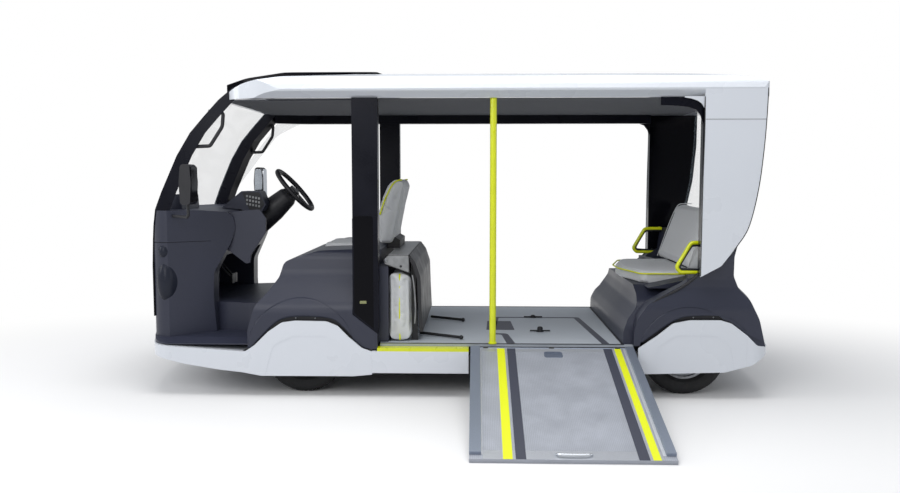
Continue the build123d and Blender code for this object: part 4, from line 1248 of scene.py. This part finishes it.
class MOVER_OT_fittings(bpy.types.Operator):
    """Pillar panels, seams and edge trims, armrest linings, bench, mirror and dash fittings."""

    bl_idname = "mover.fittings"
    bl_label = "Fittings"

    def execute(self, context):
        for side in (-1, 1):
            self.pillar(side)
            self.quarter(side)
            self.fender_seam(side)
            self.armrest(side)
            self.mirror(side)
            self.corners(side)
        self.cowl_wing()
        front = [(-1.40, -0.60, 0.05), (-0.62, -0.66, 0), (-0.62, 0.66, 0), (-1.40, 0.60, 0.05)]
        plate("lining_front", centred(rounded(front, 4)), "xy", 1.786, 1.790, head_lining)
        self.bench()
        self.dash()
        self.pedals()
        return {"FINISHED"}

    def flat(self, name, rows, low, high, made_by, edge=0.0008):
        low, high = sorted((low, high))
        return plate(name, rounded(rows, 4), "xz", low + MIDDLE, high + MIDDLE, made_by, edge=edge)

    def cowl_wing(self):
        rows = [
            (-1.460, 1.098, 0.002), (-1.236, 1.118, 0.030), (-1.196, 1.060, 0.030), (-1.200, 0.968, 0.030),
            (-1.297, 0.826, 0.040), (-1.303, 0.775, 0.012), (-1.330, 0.770, 0.014), (-1.460, 0.870, 0.002)]
        self.flat("cowl_wing", rows, -0.441, -0.4555, moulded_trim, edge=0.005)

    def corners(self, side):
        tag = SIDES[side]
        white = [
            (1.350, 1.7905), (1.352, 1.783), (1.390, 1.777), (1.428, 1.764), (1.450, 1.748),
            (1.4645, 1.725), (1.4655, 1.7905)]
        black = [
            (1.220, 1.7895), (1.463, 1.7895), (1.463, 1.640), (1.452, 1.680), (1.425, 1.715),
            (1.380, 1.732), (1.300, 1.740), (1.220, 1.742)]
        for name, rows, out, inside, made_by in (
                ("quarter_corner_", white, 0.800, 0.792, body_paint),
                ("opening_corner_", black, 0.772, 0.762, pillar_black)):
            low, high = sorted((side * out, side * inside))
            points = [Vector(p) for p in rows]
            plate(name + tag, points, "xz", low + MIDDLE, high + MIDDLE, made_by, edge=0.0006)

    def pillar(self, side):
        tag = SIDES[side]
        rows = [(-0.589, 0.508, 0), (-0.589, 1.091, 0.016), (-0.473, 1.091, 0.016), (-0.473, 0.412, 0)]
        self.flat("pillar_panel_" + tag, rows, side * 0.780, side * 0.7872, gloss_black, 0.0012)
        rows = [
            (-0.555, 0.565, 0.003), (-0.555, 0.582, 0.003), (-0.515, 0.582, 0.003), (-0.515, 0.565, 0.003)]
        self.flat("pillar_marker_" + tag, rows, side * 0.787, side * 0.7882, marker_olive, 0.0005)

    def quarter(self, side):
        tag = SIDES[side]
        y = side * 0.8065 + MIDDLE
        rear = [(1.8275, 1.838), (1.827, 1.760), (1.8185, 1.561), (1.808, 1.430), (1.795, 1.297),
                (1.770, 1.150), (1.740, 1.032), (1.712, 0.975), (1.680, 0.930), (1.635, 0.862)]
        cord_line("quarter_edge_" + tag, [(a, y, b) for a, b in rear], 0.0032, chassis_paint)
        front = [(1.4665, 1.788), (1.4695, 1.637), (1.466, 1.400), (1.4645, 1.247), (1.4640, 0.740)]
        cord_line("quarter_front_" + tag, [(a, y, b) for a, b in front], 0.0030, satin_black)
        seam = [(1.472, 1.6560, 0), (1.472, 1.6585, 0), (1.822, 1.6585, 0), (1.822, 1.6560, 0)]
        self.flat("quarter_seam_" + tag, seam, side * 0.8065, side * 0.8088, chassis_paint, 0.0002)

    def fender_seam(self, side):
        tag = SIDES[side]
        rows = [
            # x, z, radius
            (1.466, 0.748, 0.009), (1.440, 0.722, 0.010), (1.391, 0.682, 0.0095), (1.320, 0.640, 0.0085),
            (1.261, 0.613, 0.0065), (1.205, 0.584, 0.0045), (1.160, 0.551, 0.003), (1.118, 0.492, 0.002),
            (1.090, 0.400, 0.002)]
        line = [(x, side * (along_rows(TAIL_SECTION, z) - 0.002) + MIDDLE, z) for x, z, _ in rows]
        cord_line("fender_seam_" + tag, line, 1.0, satin_black, radii=[row[2] for row in rows], smooth=8)

    def armrest(self, side):
        tag = SIDES[side]
        y = side * 0.700 + MIDDLE
        line = [(1.556, y, 0.916), (1.445, y, 0.916), (1.430, y, 0.908), (1.366, y, 0.797),
                (1.364, y, 0.778), (1.382, y, 0.766), (1.556, y, 0.766)]
        cord_line("armrest_lining_" + tag, line, 0.0085, satin_black)

    def mirror(self, side):
        tag = SIDES[side]
        low, high = sorted((side * 0.787, side * 0.897))
        face = [(low + MIDDLE, 1.176, 0.014), (high + MIDDLE, 1.176, 0.014), (high + MIDDLE, 1.384, 0.018),
                (low + MIDDLE, 1.384, 0.018)]
        look = gloss_black if side < 0 else mirror_silver
        plate("mirror_glass_" + tag, rounded(face, 4), "yz", -1.5245, -1.5205, look, edge=0.0008)
        inner = [
            (-1.584, 1.180, 0.014), (-1.532, 1.180, 0.014), (-1.526, 1.290, 0.05),
            (-1.532, 1.384, 0.014), (-1.582, 1.384, 0.014), (-1.588, 1.290, 0.05)]
        if side > 0:
            self.flat("mirror_cap", inner, 0.7735, 0.776, mirror_silver)

    def bench(self):
        side = [
            (-0.412, 0.797, 0.004), (-0.420, 0.822, 0.012), (-0.393, 0.846, 0.010),
            (-0.268, 0.846, 0.006), (-0.267, 0.746, 0.004)]
        self.flat("bench_cheek", side, -0.7035, -0.6995, bracket_grey)
        lathe("bench_hole", [(0.0, 0.002), (0.006, 0.002), (0.0075, 0.0)],
              (-0.315, -0.7035 + MIDDLE, 0.782), (0, -1, 0), satin_black, steps=20)
        lathe("bench_boss", [(0.0, 0.006), (0.010, 0.006), (0.013, 0.003), (0.014, 0.0)],
              (-0.405, -0.7035 + MIDDLE, 0.817), (0, -1, 0), wheel_steel, steps=24)
        top = [
            (-0.392, -0.702, 0.004), (-0.268, -0.702, 0.004), (-0.268, 0.405, 0.004), (-0.392, 0.405, 0.004)]
        plate("bench_top", centred(rounded(top, 3)), "xy", 0.8485, 0.8518, bracket_grey)
        strut = [(-0.246, 0.728), (-0.238, 0.690), (-0.230, 0.600), (-0.226, 0.500), (-0.232, 0.430)]
        cord_line("bench_strut", [(a, -0.694 + MIDDLE, b) for a, b in strut], 0.0045, bracket_grey)
        for y in (-0.6175, 0.3275):
            for z in (0.352, 0.395):
                lathe("bench_bolt_%d_%d" % (round(1000 * y + 700), round(z * 1000)), [
                    (0.0, 0.006), (0.008, 0.006), (0.010, 0.003), (0.010, 0.0)],
                    (-0.2150 - (z - 0.316) * 0.046 - 0.0005, y + MIDDLE, z), (1, 0, 0), wheel_steel, steps=6)

    def dash(self):
        panel = [
            (-1.421, 1.221, 0.008), (-1.306, 1.221, 0.010), (-1.270, 1.143, 0.010),
            (-1.298, 1.100, 0.012), (-1.372, 1.104, 0.010)]
        self.flat("switch_panel", panel, -0.1895, -0.1925, satin_black)
        for k in range(5):
            x, z = -1.386 + 0.020 * k, 1.196 - 0.004 * k
            for drop in (0.0, 0.026, 0.052):
                rows = rectangle(x, z - drop, 0.006, 0.007, 0.002)
                name = "switch_%d_%d" % (k, round(drop * 1000))
                self.flat(name, rows, -0.1920, -0.1950, bracket_grey, 0.0006)

    def pedals(self):
        pads = [
            # name, y, x, z, half width
            ("brake", -0.075, -1.520, 0.625, 0.036), ("drive", 0.075, -1.545, 0.615, 0.026),
        ]
        for name, y, x, z, wide in pads:
            y += MIDDLE
            rows = rectangle(y, z + 0.005, wide, 0.035, 0.012)
            plate("pedal_" + name, rounded(rows, 4), "yz", x - 0.012, x, satin_black, edge=0.003)
            arm = [(x - 0.008, y, z), (x - 0.060, y, z + 0.050), (x - 0.110, y, z + 0.120)]
            cord_line("pedal_arm_" + name, arm, 0.008, satin_black)


class MOVER_PT_panel(bpy.types.Panel):
    """Lists the settings and the steps of the dressing."""

    bl_idname = "MOVER_PT_panel"
    bl_label = "People mover"
    bl_space_type = "VIEW_3D"
    bl_region_type = "UI"
    bl_category = "People mover"

    def draw(self, context):
        for group in (context.scene.mover_colours, context.scene.mover_sizes):
            for name in group.bl_rna.properties.keys():
                if name not in ("rna_type", "name"):
                    self.layout.prop(group, name)
        for step in STEPS:
            self.layout.operator(step.bl_idname)


STEPS = (
    MOVER_OT_stage, MOVER_OT_finishes, MOVER_OT_rear_bench, MOVER_OT_driver_seat,
    MOVER_OT_folding_bench, MOVER_OT_wheels, MOVER_OT_ramp, MOVER_OT_deck, MOVER_OT_arches,
    MOVER_OT_lamps, MOVER_OT_fittings,
)
CLASSES = (MoverColours, MoverSizes) + STEPS + (MOVER_PT_panel,)


def register():
    for made in CLASSES:
        bpy.utils.register_class(made)
    bpy.types.Scene.mover_colours = bpy.props.PointerProperty(type=MoverColours)
    bpy.types.Scene.mover_sizes = bpy.props.PointerProperty(type=MoverSizes)


def unregister():
    del bpy.types.Scene.mover_sizes
    del bpy.types.Scene.mover_colours
    for made in reversed(CLASSES):
        bpy.utils.unregister_class(made)


def main():
    register()
    bpy.ops.mover.stage()
    bpy.ops.mover.finishes()
    bpy.ops.mover.rear_bench()
    bpy.ops.mover.driver_seat()
    bpy.ops.mover.folding_bench()
    bpy.ops.mover.wheels()
    bpy.ops.mover.ramp()
    bpy.ops.mover.deck()
    bpy.ops.mover.arches()
    bpy.ops.mover.lamps()
    bpy.ops.mover.fittings()


if __name__ == "__main__":
    main()
